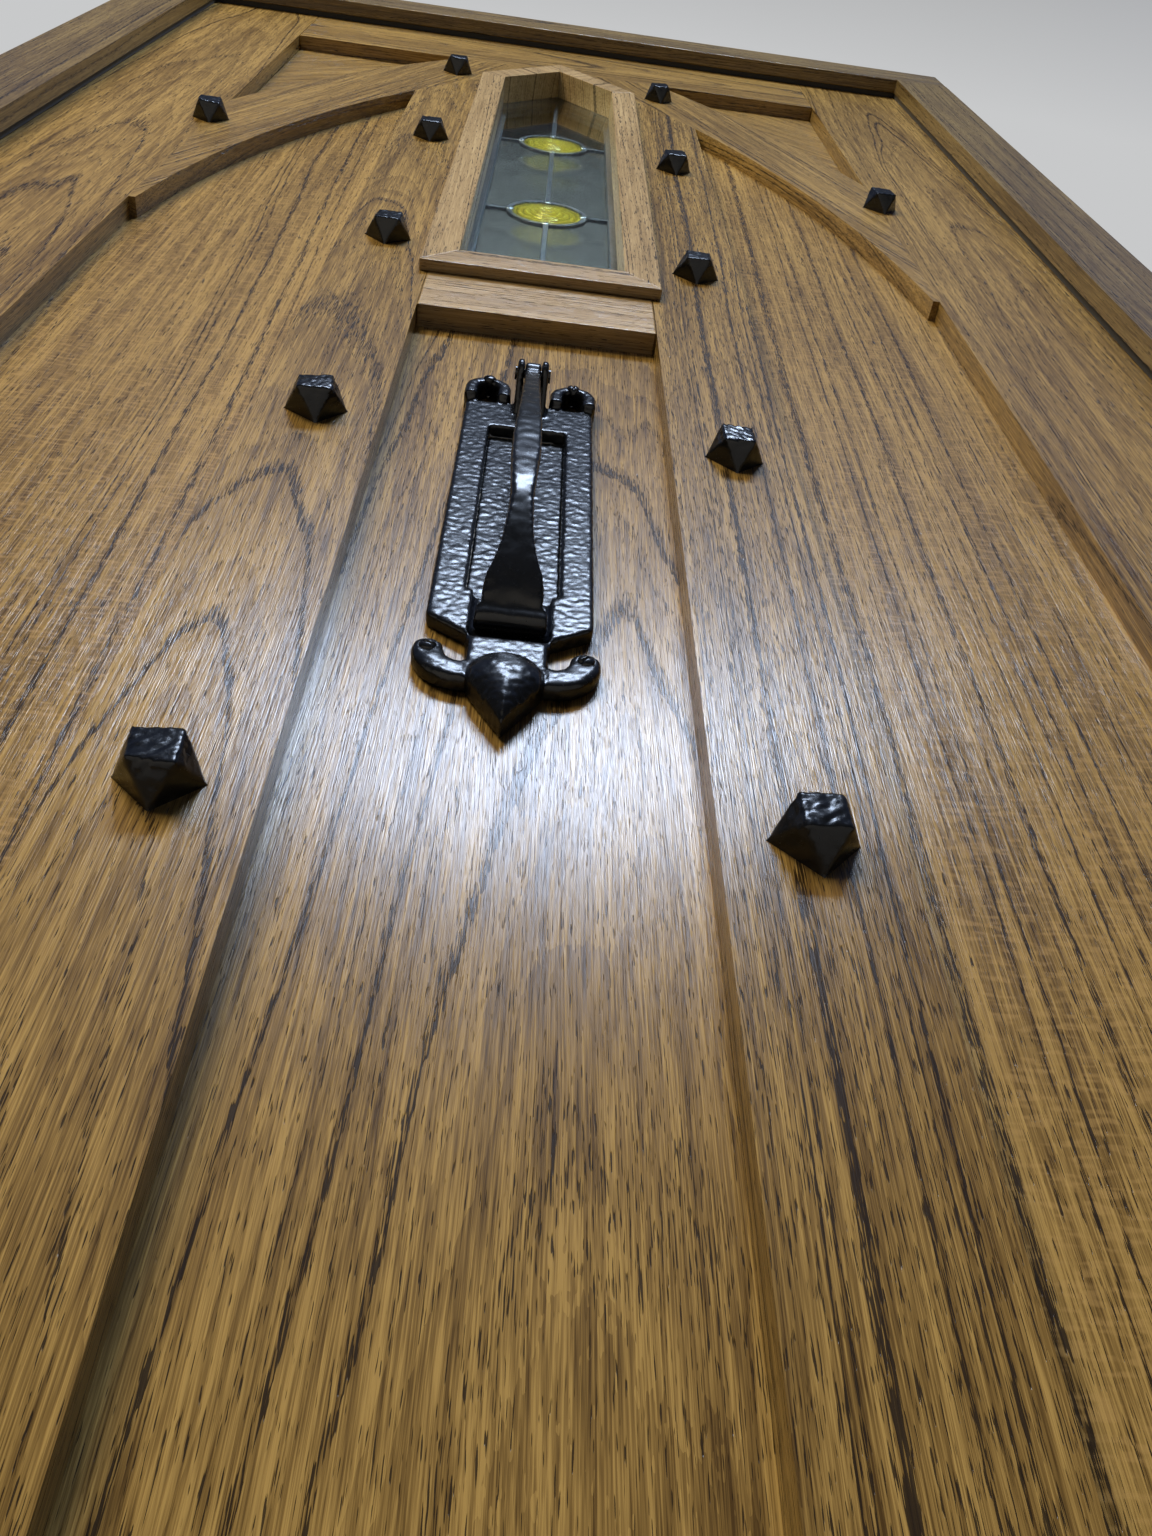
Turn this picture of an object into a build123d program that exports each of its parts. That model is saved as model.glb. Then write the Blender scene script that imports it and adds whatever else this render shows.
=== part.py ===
from build123d import *
from math import asin, cos, radians, sin, sqrt, tan
import os

os.makedirs("parts", exist_ok=True)

# An arched oak front door in its frame, in millimetres.
# X runs to the right as seen from the street, Y into the house, Z up.
# The origin is the middle of the sill's underside, in the plane of the leaf's outer face.

# Frame
clear_wide = 838.0  # between the stops of the two jambs
frame_face = 63.0  # width of a jamb or the head, seen from the street
stop_thick = 15.0  # the stop that the leaf shuts against
seal_thick = 6.0  # gap between stop and leaf, filled by the seal
seal_wide = 8.0
seal_inset = 2.0  # behind the edge of the stop
seal_gap = 0.3  # between the seal and the leaf
stop_lap = 13.0  # how far the stop covers the edge of the leaf
edge_gap = 3.0  # clearance round the leaf
sill_high = 40.0
sill_nose = 26.0  # how far the sill runs out past the frame
sill_fall = 16.0  # drop of the sill's weathered top
drip_radius = 3.0

# Leaf
leaf_high = 2032.0
leaf_thick = 56.0
stile_wide = 134.6
muntin_wide = 67.2
centre_wide = 154.4  # centre panel, between the muntins
top_rail_high = 142.0
bottom_rail_high = 200.0
mid_rail_level = 1081.0  # underside of the mid rail above the foot of the leaf
mid_rail_high = 69.3
panel_recess = 14.4
tongue_thick = 12.0
tongue_deep = 9.0
groove_slack = 1.5  # room at the bottom of a groove, for the panel to swell
tenon_thick = 18.0
tenon_long = 70.0
tenon_shoulder = 20.0
stub_long = 30.0

# Arched braces, two arcs struck from beyond the door
arch_radius = 1305.6
arch_level = 1070.3  # centre of the arcs above the foot of the leaf
brace_wide = 80.0
brace_foot_level = 1223.0
brace_foot_thick = 4.8

# Window
bead_face = 25.0
sill_bead_face = 28.5
bead_lap = 5.3  # how far the bead covers the timber round it
bead_proud = 8.0
roof_angle = 50.6
peak_gap = 4.6  # between the peak of the beads and the top rail
glass_level = 18.0  # outer face of the sealed unit behind the face of the leaf
glass_thick = 4.0
front_cavity = 7.0
rear_cavity = 7.0
quarry_thick = 3.4
came_thick = 6.0
came_wide = 4.6
came_heart = 1.6
border_came_wide = 21.2
came_lap = 5.0  # how far the border came laps over the quarries
glass_edge = 3.0  # clearance round the sealed unit
spacer_wide = 7.0
spacer_inset = 3.0
roundel_radius = 32.8
roundel_swell = 3.0  # of the boss in the middle
boss_radius = 4.0
ripple_swell = 1.5  # of the rings round it
ripple_flat = 0.35  # share of a ring that each of its slopes takes
roundel_rings = 3
lower_roundel_rise = 243.0  # above the inner edge of the sill bead
roundel_spacing = 245.0

# Studs
stud_across = 32.5
stud_top = 17.5
stud_high = 16.0
stud_first = 305.0  # lowest pair above the foot of the leaf
stud_spacing = 300.4
stud_rows = 6
stile_stud_level = 1469.0
nail_radius = 2.5
nail_long = 25.0
stud_turn = 9.0  # no two studs are driven at quite the same angle

# Letter plate with knocker
plate_centre_level = 844.0  # middle of the letter slot above the foot of the leaf
plate_wide = 72.0
plate_high = 224.4
plate_rise = 4.2  # plate centre above slot centre
plate_thick = 7.4
plate_corner = 4.0
plate_slope = 13.0
slot_wide = 41.5
slot_high = 170.0
flap_gap = 0.75
flap_thick = 4.0
flap_recess = 6.0
barrel_radius = 3.2
flap_pin_radius = 1.5
flap_pin_inset = 1.5  # from the edge of the flap
flap_pin_set = 4.0  # behind the flap
lug_long = 6.0
lug_gap = 0.5
spring_radius = 2.6
spring_wire = 1.1
spring_turns = 4
spring_pitch = 2.8
tunnel_margin = 9.0  # of the tunnel through the panel, above and below the slot
tunnel_gap = 2.5
channel_wide = 34.0
channel_deep = 4.5
neck_wide = 33.0
neck_long = 24.0
lobe_reach = 18.5
lobe_bend = 14.0
lobe_wide = 12.0
heart_radius = 15.5
heart_drop = 30.0
heart_point = 30.0
heart_proud = 6.0
heart_slope = 40.0
hood_reach = 24.2
hood_radius = 12.3
hood_hole = 6.6
hood_rise = 11.0
hood_proud = 4.0
finial_radius = 6.0
finial_rise = 12.0
ear_thick = 4.0
ear_gap = 9.4
ear_radius = 8.0
pivot_proud = 17.0
pivot_rise = 34.0  # knocker pin above the top of the letter slot
pin_radius = 2.5
pin_gap = 0.06
eye_radius = 6.5
arm_eye_wide = 8.8
arm_long = 229.0
arm_bow = 12.5  # of its most proud point beyond the pivot
arm_bow_drop = 144.0  # of that point below the pivot
arm_thick = 8.0
arm_rise_slope = 0.18  # outward per mm down, at the pivot
arm_foot_slope = 0.9  # inward per mm down, at the foot
arm_belly = 14.0
arm_belly_drop = 118.0
arm_waist = 10.4
arm_waist_rise = 54.0  # above the foot
paddle_wide = 26.5
paddle_rise = 10.0
foot_radius = 5.6
foot_wide = 31.0
foot_gap = 0.3
screw_head_radius = 4.0
screw_head_high = 2.5
screw_radius = 2.0
screw_long = 18.0

# Hinges
hinge_high = 100.0
hinge_wing = 42.0
hinge_thick = 3.0
knuckle_radius = 6.0
knuckle_count = 5
knuckle_gap = 0.2
hinge_pin_radius = 3.0
hinge_pin_gap = 0.05
hinge_cap_high = 3.0
hinge_cap_radius = 4.8
hinge_levels = (182.0, 966.0, 1750.0)
knuckle_clear = 0.3
wing_screw_rise = 17.0
wing_screw_depths = (12.0, 28.0)
csk_radius = 4.2
csk_deep = 2.4
wood_screw_radius = 2.2
wood_screw_long = 24.0

# Lock, with a knob on each face
backset = 57.0
spindle_level = 1007.0
case_deep = 76.0
case_high = 170.0
case_thick = 16.0
case_drop = 26.0  # middle of the case below the spindle
forend_high = 235.0
forend_wide = 25.0
forend_thick = 3.0
latch_rise = 26.0
latch_high = 22.0
latch_throw = 12.0
latch_flat = 2.0  # blunt end of the latch's bevelled nose
bolt_drop = 44.0
bolt_high = 28.0
bolt_throw = 20.0
bolt_thick = 11.0
bolt_long = 40.0
bolt_gap = 0.3
spindle_size = 8.0
spindle_hole_radius = 6.2
cylinder_drop = 72.0
cylinder_radius = 8.5
cylinder_foot = 5.0
cylinder_high = 33.0
cylinder_proud = 4.0
turn_radius = 14.0
turn_long = 20.0
turn_thick = 7.0
turn_neck_radius = 5.0
turn_gap = 0.4
knob_radius = 27.0
knob_neck_radius = 9.0
knob_proud = 62.0
knob_deep = 27.0  # from the front of the knob to its neck
knob_dome = 17.0
rose_radius = 26.0
rose_thick = 8.0
rose_edge = 3.0
rose_slope = 8.0
spindle_reach = 24.0  # of the spindle beyond each face of the leaf
neck_gap = 0.3
keep_high = 160.0
keep_wide = 25.0
keep_thick = 2.0
keep_slack = 2.0

# Fixings through the jambs
fixing_radius = 4.0
fixing_head_radius = 8.0
fixing_head_deep = 12.0
fixing_levels = (160.0, 700.0, 1420.0, 1960.0)

# What follows from those sizes
stop_half = clear_wide / 2
leaf_half = stop_half + stop_lap
rebate_half = leaf_half + edge_gap
frame_half = stop_half + frame_face
stop_back = -seal_thick
frame_front = stop_back - stop_thick
leaf_foot = sill_high + edge_gap
leaf_top = leaf_foot + leaf_high
rebate_top = leaf_top + edge_gap
head_soffit = leaf_top - stop_lap
frame_top = head_soffit + frame_face
sill_stop_top = leaf_foot + stop_lap
stile_inner = leaf_half - stile_wide
muntin_inner = centre_wide / 2
muntin_outer = muntin_inner + muntin_wide
top_rail_foot = leaf_top - top_rail_high
bottom_rail_top = leaf_foot + bottom_rail_high
mid_rail_foot = leaf_foot + mid_rail_level
mid_rail_top = mid_rail_foot + mid_rail_high
panel_back = leaf_thick - panel_recess
tongue_front = (leaf_thick - tongue_thick) / 2
tongue_back = tongue_front + tongue_thick
tenon_front = (leaf_thick - tenon_thick) / 2
arch_z = leaf_foot + arch_level
brace_foot = leaf_foot + brace_foot_level
arch_x = sqrt(arch_radius**2 - (brace_foot - arch_z) ** 2) - stile_inner + brace_foot_thick
bead_half = muntin_inner + bead_lap
bead_foot = mid_rail_top - bead_lap * sill_bead_face / bead_face
bead_peak = top_rail_foot - peak_gap
unit_inset = bead_lap + glass_edge
came_front = glass_level + glass_thick + front_cavity
came_back = came_front + came_thick
heart_front = came_front + (came_thick - quarry_thick) / 2
heart_back = heart_front + quarry_thick
rear_pane = came_back + rear_cavity
unit_back = rear_pane + glass_thick
roundel_levels = [
    bead_foot + sill_bead_face + lower_roundel_rise + row * roundel_spacing for row in range(2)
]
stud_x = (muntin_inner + muntin_outer) / 2
slot_level = leaf_foot + plate_centre_level
plate_front = panel_recess - plate_thick
plate_level = slot_level + plate_rise
plate_foot = plate_level - plate_high / 2
plate_top = plate_level + plate_high / 2
slot_top = slot_level + slot_high / 2
slot_foot = slot_level - slot_high / 2
flap_front = plate_front + flap_recess
flap_back = flap_front + flap_thick
flap_half = slot_wide / 2 - flap_gap
flap_pin_x = flap_half - flap_pin_inset
flap_pin_y = flap_back + flap_pin_set
pivot_y = plate_front - pivot_proud
pivot_z = slot_top + pivot_rise
channel_floor = plate_front + channel_deep
foot_y = channel_floor - foot_gap - foot_radius
foot_z = pivot_z - arm_long
heart_z = plate_foot - plate_slope - heart_drop
lobe_z = plate_foot - plate_slope - neck_long / 2
hood_z = plate_top + hood_rise
hinge_x = (leaf_half + rebate_half) / 2
hinge_y = leaf_thick + knuckle_radius + knuckle_clear
spindle_x = -(leaf_half - backset)
spindle_z = leaf_foot + spindle_level
lock_y = leaf_thick / 2
cylinder_z = spindle_z - cylinder_drop
case_z = spindle_z - case_drop
latch_z = spindle_z + latch_rise
bolt_z = spindle_z - bolt_drop
dome_radius = (knob_dome**2 + knob_radius**2) / (2 * knob_dome)
dome_angle = asin(knob_radius / dome_radius)
SIDES = (("left", -1), ("right", 1))


def at_depth(y):
    """A sketch plane that faces the street, y behind the outer face of the leaf."""
    return Plane.XZ.offset(-y)


def along(x):
    """A sketch plane across the door at x, with Y and Z as its own axes."""
    return Plane.YZ.offset(x)


def save(piece, name):
    piece.part.label = name
    export_step(piece.part, f"parts/{name}.step")


def corners(x0, y0, x1, y1, mode=Mode.ADD):
    """A rectangle in the sketch that is open, from two opposite corners."""
    with Locations(((x0 + x1) / 2, (y0 + y1) / 2)):
        Rectangle(abs(x1 - x0), abs(y1 - y0), mode=mode)


# Outlines of the panels, each with its tongue when grow is the tongue's depth


def under_arch(sign, grow):
    """Everything on one side below the arched brace, and all that is below its foot."""
    with BuildSketch() as outline:
        corners(0, brace_foot, sign * (stile_inner + grow), leaf_top)
        with Locations((-sign * arch_x, arch_z)):
            Circle(arch_radius + grow, mode=Mode.INTERSECT)
        corners(0, leaf_foot, sign * leaf_half, brace_foot)
    return outline.sketch


def side_panel_outline(sign, grow):
    with BuildSketch() as outline:
        corners(
            sign * (muntin_outer - grow),
            bottom_rail_top - grow,
            sign * (stile_inner + grow),
            top_rail_foot,
        )
        add(under_arch(sign, grow), mode=Mode.INTERSECT)
    return outline.sketch


def spandrel_outline(sign, grow):
    with BuildSketch() as outline:
        corners(0, brace_foot, sign * (stile_inner + grow), top_rail_foot + grow)
        with Locations((-sign * arch_x, arch_z)):
            Circle(arch_radius + brace_wide - grow, mode=Mode.SUBTRACT)
    return outline.sketch


def centre_panel_outline(grow):
    with BuildSketch() as outline:
        corners(
            -muntin_inner - grow, bottom_rail_top - grow, muntin_inner + grow, mid_rail_foot + grow
        )
    return outline.sketch


def groove_outline():
    """Every panel with its tongue and the slack, as the grooves are cut."""
    reach = tongue_deep + groove_slack
    with BuildSketch() as outline:
        for side, sign in SIDES:
            add(side_panel_outline(sign, reach))
            add(spandrel_outline(sign, reach))
        add(centre_panel_outline(reach))
    return outline.sketch


def rail_tenons(low, high, shoulder, reach):
    """The two tenons of a rail that ends at its shoulders."""
    with BuildSketch() as outline:
        for side, sign in SIDES:
            corners(
                sign * shoulder,
                low + tenon_shoulder,
                sign * (shoulder + reach),
                high - tenon_shoulder,
            )
    return outline.sketch


def muntin_tenon(sign):
    """Stub tenon of a muntin, let into the bottom rail."""
    with BuildSketch() as outline:
        corners(
            sign * (muntin_inner + groove_slack + tongue_deep),
            bottom_rail_top - stub_long,
            sign * (muntin_outer - groove_slack - tongue_deep),
            bottom_rail_top,
        )
    return outline.sketch


def window_corners(inset):
    """The five corners of the window, inset from the outer edge of the beads."""
    half = bead_half - inset
    slope = tan(radians(roof_angle))
    peak = bead_peak - inset / cos(radians(roof_angle))
    foot = bead_foot + inset * sill_bead_face / bead_face
    shoulder = peak - half * slope
    return [(-half, foot), (half, foot), (half, shoulder), (0, peak), (-half, shoulder)]


def window_outline(inset):
    with BuildSketch() as outline:
        with BuildLine():
            Polyline(*window_corners(inset), close=True)
        make_face()
    return outline.sketch


top_tenons = rail_tenons(top_rail_foot, leaf_top, stile_inner, tenon_long)
bottom_tenons = rail_tenons(leaf_foot, bottom_rail_top, stile_inner, tenon_long)
mid_tenons = rail_tenons(mid_rail_foot, mid_rail_top, muntin_inner, stub_long)
grooves = groove_outline()

# Where the studs stand: pairs up the muntins, and one pair on the joint of stile and brace
stud_places = [
    (sign * stud_x, leaf_foot + stud_first + row * stud_spacing)
    for side, sign in SIDES
    for row in range(stud_rows)
]
stud_places += [(sign * stile_inner, leaf_foot + stile_stud_level) for side, sign in SIDES]


# What every member of the leaf loses: the panel grooves and the nail holes of the studs
with BuildPart() as joinery:
    with BuildSketch(at_depth(tongue_back)):
        add(grooves)
    extrude(amount=tongue_thick)
    with BuildSketch(at_depth(nail_long)):
        with Locations(*stud_places):
            Circle(nail_radius)
    extrude(amount=nail_long)


# Sill: a weathered nose, an upstand that the leaf shuts against, and a flat seat behind
with BuildPart() as sill:
    with BuildSketch(along(-frame_half)):
        with BuildLine():
            Polyline(
                (frame_front - sill_nose, 0),
                (leaf_thick, 0),
                (leaf_thick, sill_high),
                (stop_back, sill_high),
                (stop_back, sill_stop_top),
                (frame_front, sill_stop_top),
                (frame_front - sill_nose, sill_stop_top - sill_fall),
                close=True,
            )
        make_face()
        with Locations((frame_front - sill_nose / 2, 0)):
            Circle(drip_radius, mode=Mode.SUBTRACT)
    extrude(amount=2 * frame_half)

# Head: the same rebate, running over both jambs
with BuildPart() as head:
    with BuildSketch(along(-frame_half)):
        corners(frame_front, head_soffit, stop_back, frame_top)
        corners(stop_back, rebate_top, leaf_thick, frame_top)
    extrude(amount=2 * frame_half)

# Screws of the hinges, driven from each wing into the timber behind it
hinge_feet = [leaf_foot + level for level in hinge_levels]
wing_screw_places = [
    (hinge_y - knuckle_radius - depth, foot + hinge_high / 2 + turn * rise)
    for foot in hinge_feet
    for turn in (-1, 1)
    for rise, depth in (
        (wing_screw_rise, wing_screw_depths[0]),
        (2 * wing_screw_rise, wing_screw_depths[1]),
    )
]


def wood_screws(seats):
    """Countersunk screws, each with its head flush with a seat and its shank along the normal."""
    with BuildPart() as screws:
        for seat in seats:
            with BuildSketch(seat):
                Circle(csk_radius)
            with BuildSketch(seat.offset(csk_deep)):
                Circle(wood_screw_radius)
            loft()
            with BuildSketch(seat.offset(csk_deep)):
                Circle(wood_screw_radius)
            extrude(amount=wood_screw_long)
    return screws


def screw_seats(face_x, toward, places):
    return [Plane(origin=(face_x, y, z), z_dir=(toward, 0, 0)) for y, z in places]


def hinge_recess():
    """The beds of the wings, one either side of the gap round the leaf."""
    with BuildPart() as recess:
        for foot in hinge_feet:
            with BuildSketch(Plane.XY.offset(foot)):
                corners(
                    leaf_half - hinge_thick, hinge_y - hinge_wing, leaf_half, leaf_thick
                )
                corners(
                    rebate_half, hinge_y - hinge_wing, rebate_half + hinge_thick, leaf_thick
                )
            extrude(amount=hinge_high)
    return recess.part


leaf_screws = wood_screws(screw_seats(leaf_half, -1, wing_screw_places))
hinge_beds = hinge_recess()
knuckle_pitch = hinge_high / knuckle_count


def hinge_wing_part(foot, face_x, toward, first, bore, screws):
    """One wing of a hinge, with every second knuckle from the first."""
    with BuildPart() as wing:
        with BuildSketch(Plane.XY.offset(foot)):
            corners(face_x, hinge_y - hinge_wing, face_x + toward * hinge_thick, hinge_y)
        extrude(amount=hinge_high)
        for number in range(knuckle_count):
            low = foot + number * knuckle_pitch
            if number % 2 == first:
                with BuildSketch(Plane.XY.offset(low + knuckle_gap / 2)):
                    with Locations((hinge_x, hinge_y)):
                        Circle(knuckle_radius)
                extrude(amount=knuckle_pitch - knuckle_gap)
            else:
                with BuildSketch(Plane.XY.offset(low)):
                    with Locations((hinge_x, hinge_y)):
                        Circle(knuckle_radius + knuckle_clear)
                extrude(amount=knuckle_pitch, mode=Mode.SUBTRACT)
        with BuildSketch(Plane.XY.offset(foot)):
            with Locations((hinge_x, hinge_y)):
                Circle(bore)
        extrude(amount=hinge_high, mode=Mode.SUBTRACT)
        add(screws.part, mode=Mode.SUBTRACT)
    return wing


# Keep: a plate with two windows in the rebate of the left jamb, over two pockets
keep_z = (latch_z + bolt_z) / 2
keep_screw_places = [(lock_y, keep_z + turn * (keep_high / 2 - keep_wide / 3)) for turn in (-1, 1)]


def bolt_windows(x, depth):
    """The two openings that the bolts shoot into."""
    with BuildPart() as windows:
        with BuildSketch(Plane(origin=(x, 0, 0), x_dir=(0, 1, 0), z_dir=(-1, 0, 0))):
            for level, high in ((latch_z, latch_high), (bolt_z, bolt_high)):
                half_thick = bolt_thick / 2 + keep_slack
                half_high = high / 2 + keep_slack
                corners(
                    lock_y - half_thick, -level - half_high, lock_y + half_thick, -level + half_high
                )
        extrude(amount=depth)
    return windows.part


frame_screws = wood_screws(
    screw_seats(rebate_half, 1, wing_screw_places) + screw_seats(-rebate_half, -1, keep_screw_places)
)

with BuildPart() as keep_blank:
    with BuildSketch(Plane(origin=(-rebate_half, lock_y, keep_z), x_dir=(0, 1, 0), z_dir=(-1, 0, 0))):
        SlotOverall(keep_high, keep_wide, rotation=90)
    extrude(amount=keep_thick)
with BuildPart() as strike_plate:
    add(keep_blank.part)
    add(bolt_windows(-rebate_half, keep_thick), mode=Mode.SUBTRACT)
    add(frame_screws.part, mode=Mode.SUBTRACT)

# Jambs stand on the sill, run up under the head, and carry the fixings
for side, sign in SIDES:
    with BuildPart() as jamb:
        with BuildSketch():
            corners(sign * stop_half, frame_front, sign * frame_half, stop_back)
            corners(sign * rebate_half, stop_back, sign * frame_half, leaf_thick)
        extrude(amount=frame_top)
        add(sill.part, mode=Mode.SUBTRACT)
        add(head.part, mode=Mode.SUBTRACT)
        for level in fixing_levels:
            seat = Plane(origin=(sign * rebate_half, lock_y, level), z_dir=(sign, 0, 0))
            with BuildSketch(seat):
                Circle(fixing_radius)
            extrude(amount=frame_half - rebate_half, mode=Mode.SUBTRACT)
            with BuildSketch(seat):
                Circle(fixing_head_radius)
            extrude(amount=fixing_head_deep, mode=Mode.SUBTRACT)
        if side == "right":
            add(hinge_beds, mode=Mode.SUBTRACT)
        else:
            add(keep_blank.part, mode=Mode.SUBTRACT)
            add(bolt_windows(-rebate_half, keep_thick + bolt_throw + keep_slack), mode=Mode.SUBTRACT)
        add(frame_screws.part, mode=Mode.SUBTRACT)
    save(jamb, f"jamb_{side}")
save(sill, "sill")
save(head, "head")
save(strike_plate, "strike_plate")
save(frame_screws, "frame_screws")
save(leaf_screws, "leaf_screws")

# Weather seals on the back of the stop, four lengths with mitred corners


def seal_corners(inset):
    half = stop_half + inset
    foot = sill_stop_top - inset
    top = head_soffit + inset
    return [(-half, foot), (half, foot), (half, top), (-half, top)]


seal_lengths = []
seal_near = seal_corners(seal_inset)
seal_far = seal_corners(seal_inset + seal_wide)
for number in range(4):
    after = (number + 1) % 4
    with BuildPart() as seal:
        with BuildSketch(at_depth(-seal_gap)):
            with BuildLine():
                Polyline(seal_near[number], seal_near[after], seal_far[after], seal_far[number], close=True)
            make_face()
        extrude(amount=seal_thick - seal_gap)
    seal_lengths.append(seal.part)
weather_seals = Compound(label="weather_seals", children=seal_lengths)
export_step(weather_seals, "parts/weather_seals.step")

# Hinges: the frame's wing holds the first, third and fifth knuckle, the leaf's wing the others
for number, foot in enumerate(hinge_feet, start=1):
    save(
        hinge_wing_part(foot, rebate_half, 1, 0, hinge_pin_radius, frame_screws),
        f"hinge_frame_wing_{number}",
    )
    save(
        hinge_wing_part(foot, leaf_half, -1, 1, hinge_pin_radius + hinge_pin_gap, leaf_screws),
        f"hinge_leaf_wing_{number}",
    )

with BuildPart() as hinge_pins:
    for foot in hinge_feet:
        for low, radius, high in (
            (foot - hinge_cap_high, hinge_cap_radius, hinge_cap_high),
            (foot, hinge_pin_radius, hinge_high),
            (foot + hinge_high, hinge_cap_radius, hinge_cap_high),
        ):
            with BuildSketch(Plane.XY.offset(low)):
                with Locations((hinge_x, hinge_y)):
                    Circle(radius)
            extrude(amount=high)
save(hinge_pins, "hinge_pins")

# Lock case with its forend, let into the edge of the left stile
edge_x = -leaf_half


def euro_outline():
    """The pear-shaped section of the cylinder."""
    with BuildSketch() as outline:
        with Locations((spindle_x, cylinder_z)):
            Circle(cylinder_radius)
        corners(
            spindle_x - cylinder_foot,
            cylinder_z,
            spindle_x + cylinder_foot,
            cylinder_z + cylinder_radius + cylinder_foot - cylinder_high,
        )
        with Locations((spindle_x, cylinder_z + cylinder_radius + cylinder_foot - cylinder_high)):
            Circle(cylinder_foot)
    return outline.sketch


def bolt_block(low_x, high_x, level, high, grow):
    """A plain bolt between two values of x, grown all round by grow."""
    with BuildPart() as block:
        with BuildSketch(at_depth(lock_y + bolt_thick / 2 + grow)):
            corners(low_x, level - high / 2 - grow, high_x, level + high / 2 + grow)
        extrude(amount=bolt_thick + 2 * grow)
    return block.part


with BuildPart() as lock_blank:
    with BuildSketch(at_depth(lock_y + case_thick / 2)):
        corners(
            edge_x + forend_thick, case_z - case_high / 2, edge_x + case_deep, case_z + case_high / 2
        )
    extrude(amount=case_thick)
    with BuildSketch(Plane(origin=(edge_x, lock_y, case_z), x_dir=(0, 1, 0), z_dir=(-1, 0, 0))):
        SlotOverall(forend_high, forend_wide, rotation=90)
    extrude(amount=-forend_thick)

with BuildPart() as lock_case:
    add(lock_blank.part)
    for level, high in ((latch_z, latch_high), (bolt_z, bolt_high)):
        channel = bolt_block(edge_x, edge_x + bolt_long + bolt_gap, level, high, bolt_gap)
        add(channel, mode=Mode.SUBTRACT)
    with BuildSketch(at_depth(leaf_thick)):
        with Locations((spindle_x, spindle_z)):
            Circle(spindle_hole_radius)
        add(euro_outline())
    extrude(amount=leaf_thick, mode=Mode.SUBTRACT)
save(lock_case, "lock_case")

# Latch bolt, with its nose bevelled on the side that meets the keep as the door shuts
with BuildPart() as latch_bolt:
    with BuildSketch(Plane.XY.offset(latch_z - latch_high / 2)):
        with BuildLine():
            Polyline(
                (edge_x + bolt_long - latch_throw, lock_y - bolt_thick / 2),
                (edge_x + bolt_long - latch_throw, lock_y + bolt_thick / 2),
                (edge_x - latch_throw, lock_y + bolt_thick / 2),
                (edge_x - latch_throw, lock_y + bolt_thick / 2 - latch_flat),
                (edge_x, lock_y - bolt_thick / 2),
                close=True,
            )
        make_face()
    extrude(amount=latch_high)
save(latch_bolt, "latch_bolt")

with BuildPart() as dead_bolt:
    add(bolt_block(edge_x, edge_x + bolt_long, bolt_z, bolt_high, 0))
save(dead_bolt, "dead_bolt")

with BuildPart() as spindle:
    with BuildSketch(at_depth(leaf_thick + spindle_reach)):
        with Locations((spindle_x, spindle_z)):
            Rectangle(spindle_size, spindle_size)
    extrude(amount=leaf_thick + 2 * spindle_reach)
save(spindle, "spindle")

# Knobs and their roses, alike on both faces of the leaf
rose_blanks = []
knob_axis = Axis((spindle_x, 0, spindle_z), (0, 1, 0))
for side, face_y, toward in (("outside", 0, -1), ("inside", leaf_thick, 1)):
    profile_plane = Plane(origin=(spindle_x, face_y, spindle_z), x_dir=(0, toward, 0), z_dir=(1, 0, 0))
    with BuildPart() as knob:
        with BuildSketch(profile_plane):
            with BuildLine():
                neck = Polyline(
                    (neck_gap, 0),
                    (neck_gap, knob_neck_radius),
                    (knob_proud - knob_deep, knob_neck_radius),
                    (knob_proud - knob_dome, knob_radius),
                )
                dome = ThreePointArc(
                    neck @ 1,
                    (
                        knob_proud - dome_radius + dome_radius * cos(dome_angle / 2),
                        dome_radius * sin(dome_angle / 2),
                    ),
                    (knob_proud, 0),
                )
                Line(dome @ 1, neck @ 0)
            make_face()
        revolve(axis=knob_axis)
        add(spindle.part, mode=Mode.SUBTRACT)
    save(knob, f"knob_{side}")
    with BuildPart() as rose:
        with BuildSketch(profile_plane):
            with BuildLine():
                Polyline(
                    (0, knob_neck_radius + neck_gap),
                    (0, rose_radius),
                    (rose_edge, rose_radius),
                    (rose_thick, rose_radius - rose_slope),
                    (rose_thick, knob_neck_radius + neck_gap),
                    close=True,
                )
            make_face()
        revolve(axis=knob_axis)
    rose_blanks.append(rose.part)
export_step(Compound(label="knob_roses", children=rose_blanks), "parts/knob_roses.step")

# Cylinder through the leaf, and the thumb turn in its inner end
with BuildPart() as lock_cylinder:
    with BuildSketch(at_depth(leaf_thick + cylinder_proud)):
        add(euro_outline())
    extrude(amount=leaf_thick + 2 * cylinder_proud)
    with BuildSketch(at_depth(leaf_thick + cylinder_proud)):
        with Locations((spindle_x, cylinder_z)):
            Circle(turn_neck_radius + pin_gap)
    extrude(amount=turn_long / 2, mode=Mode.SUBTRACT)
save(lock_cylinder, "lock_cylinder")

with BuildPart() as thumb_turn:
    with BuildSketch(at_depth(leaf_thick + cylinder_proud + turn_gap)):
        with Locations((spindle_x, cylinder_z)):
            Circle(turn_neck_radius)
    extrude(amount=turn_long / 2)
    with BuildSketch(at_depth(leaf_thick + cylinder_proud + turn_gap + turn_long)):
        with Locations((spindle_x, cylinder_z)):
            SlotOverall(2 * turn_radius, turn_thick)
            Circle(turn_neck_radius)
    extrude(amount=turn_long)
save(thumb_turn, "thumb_turn")

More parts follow.
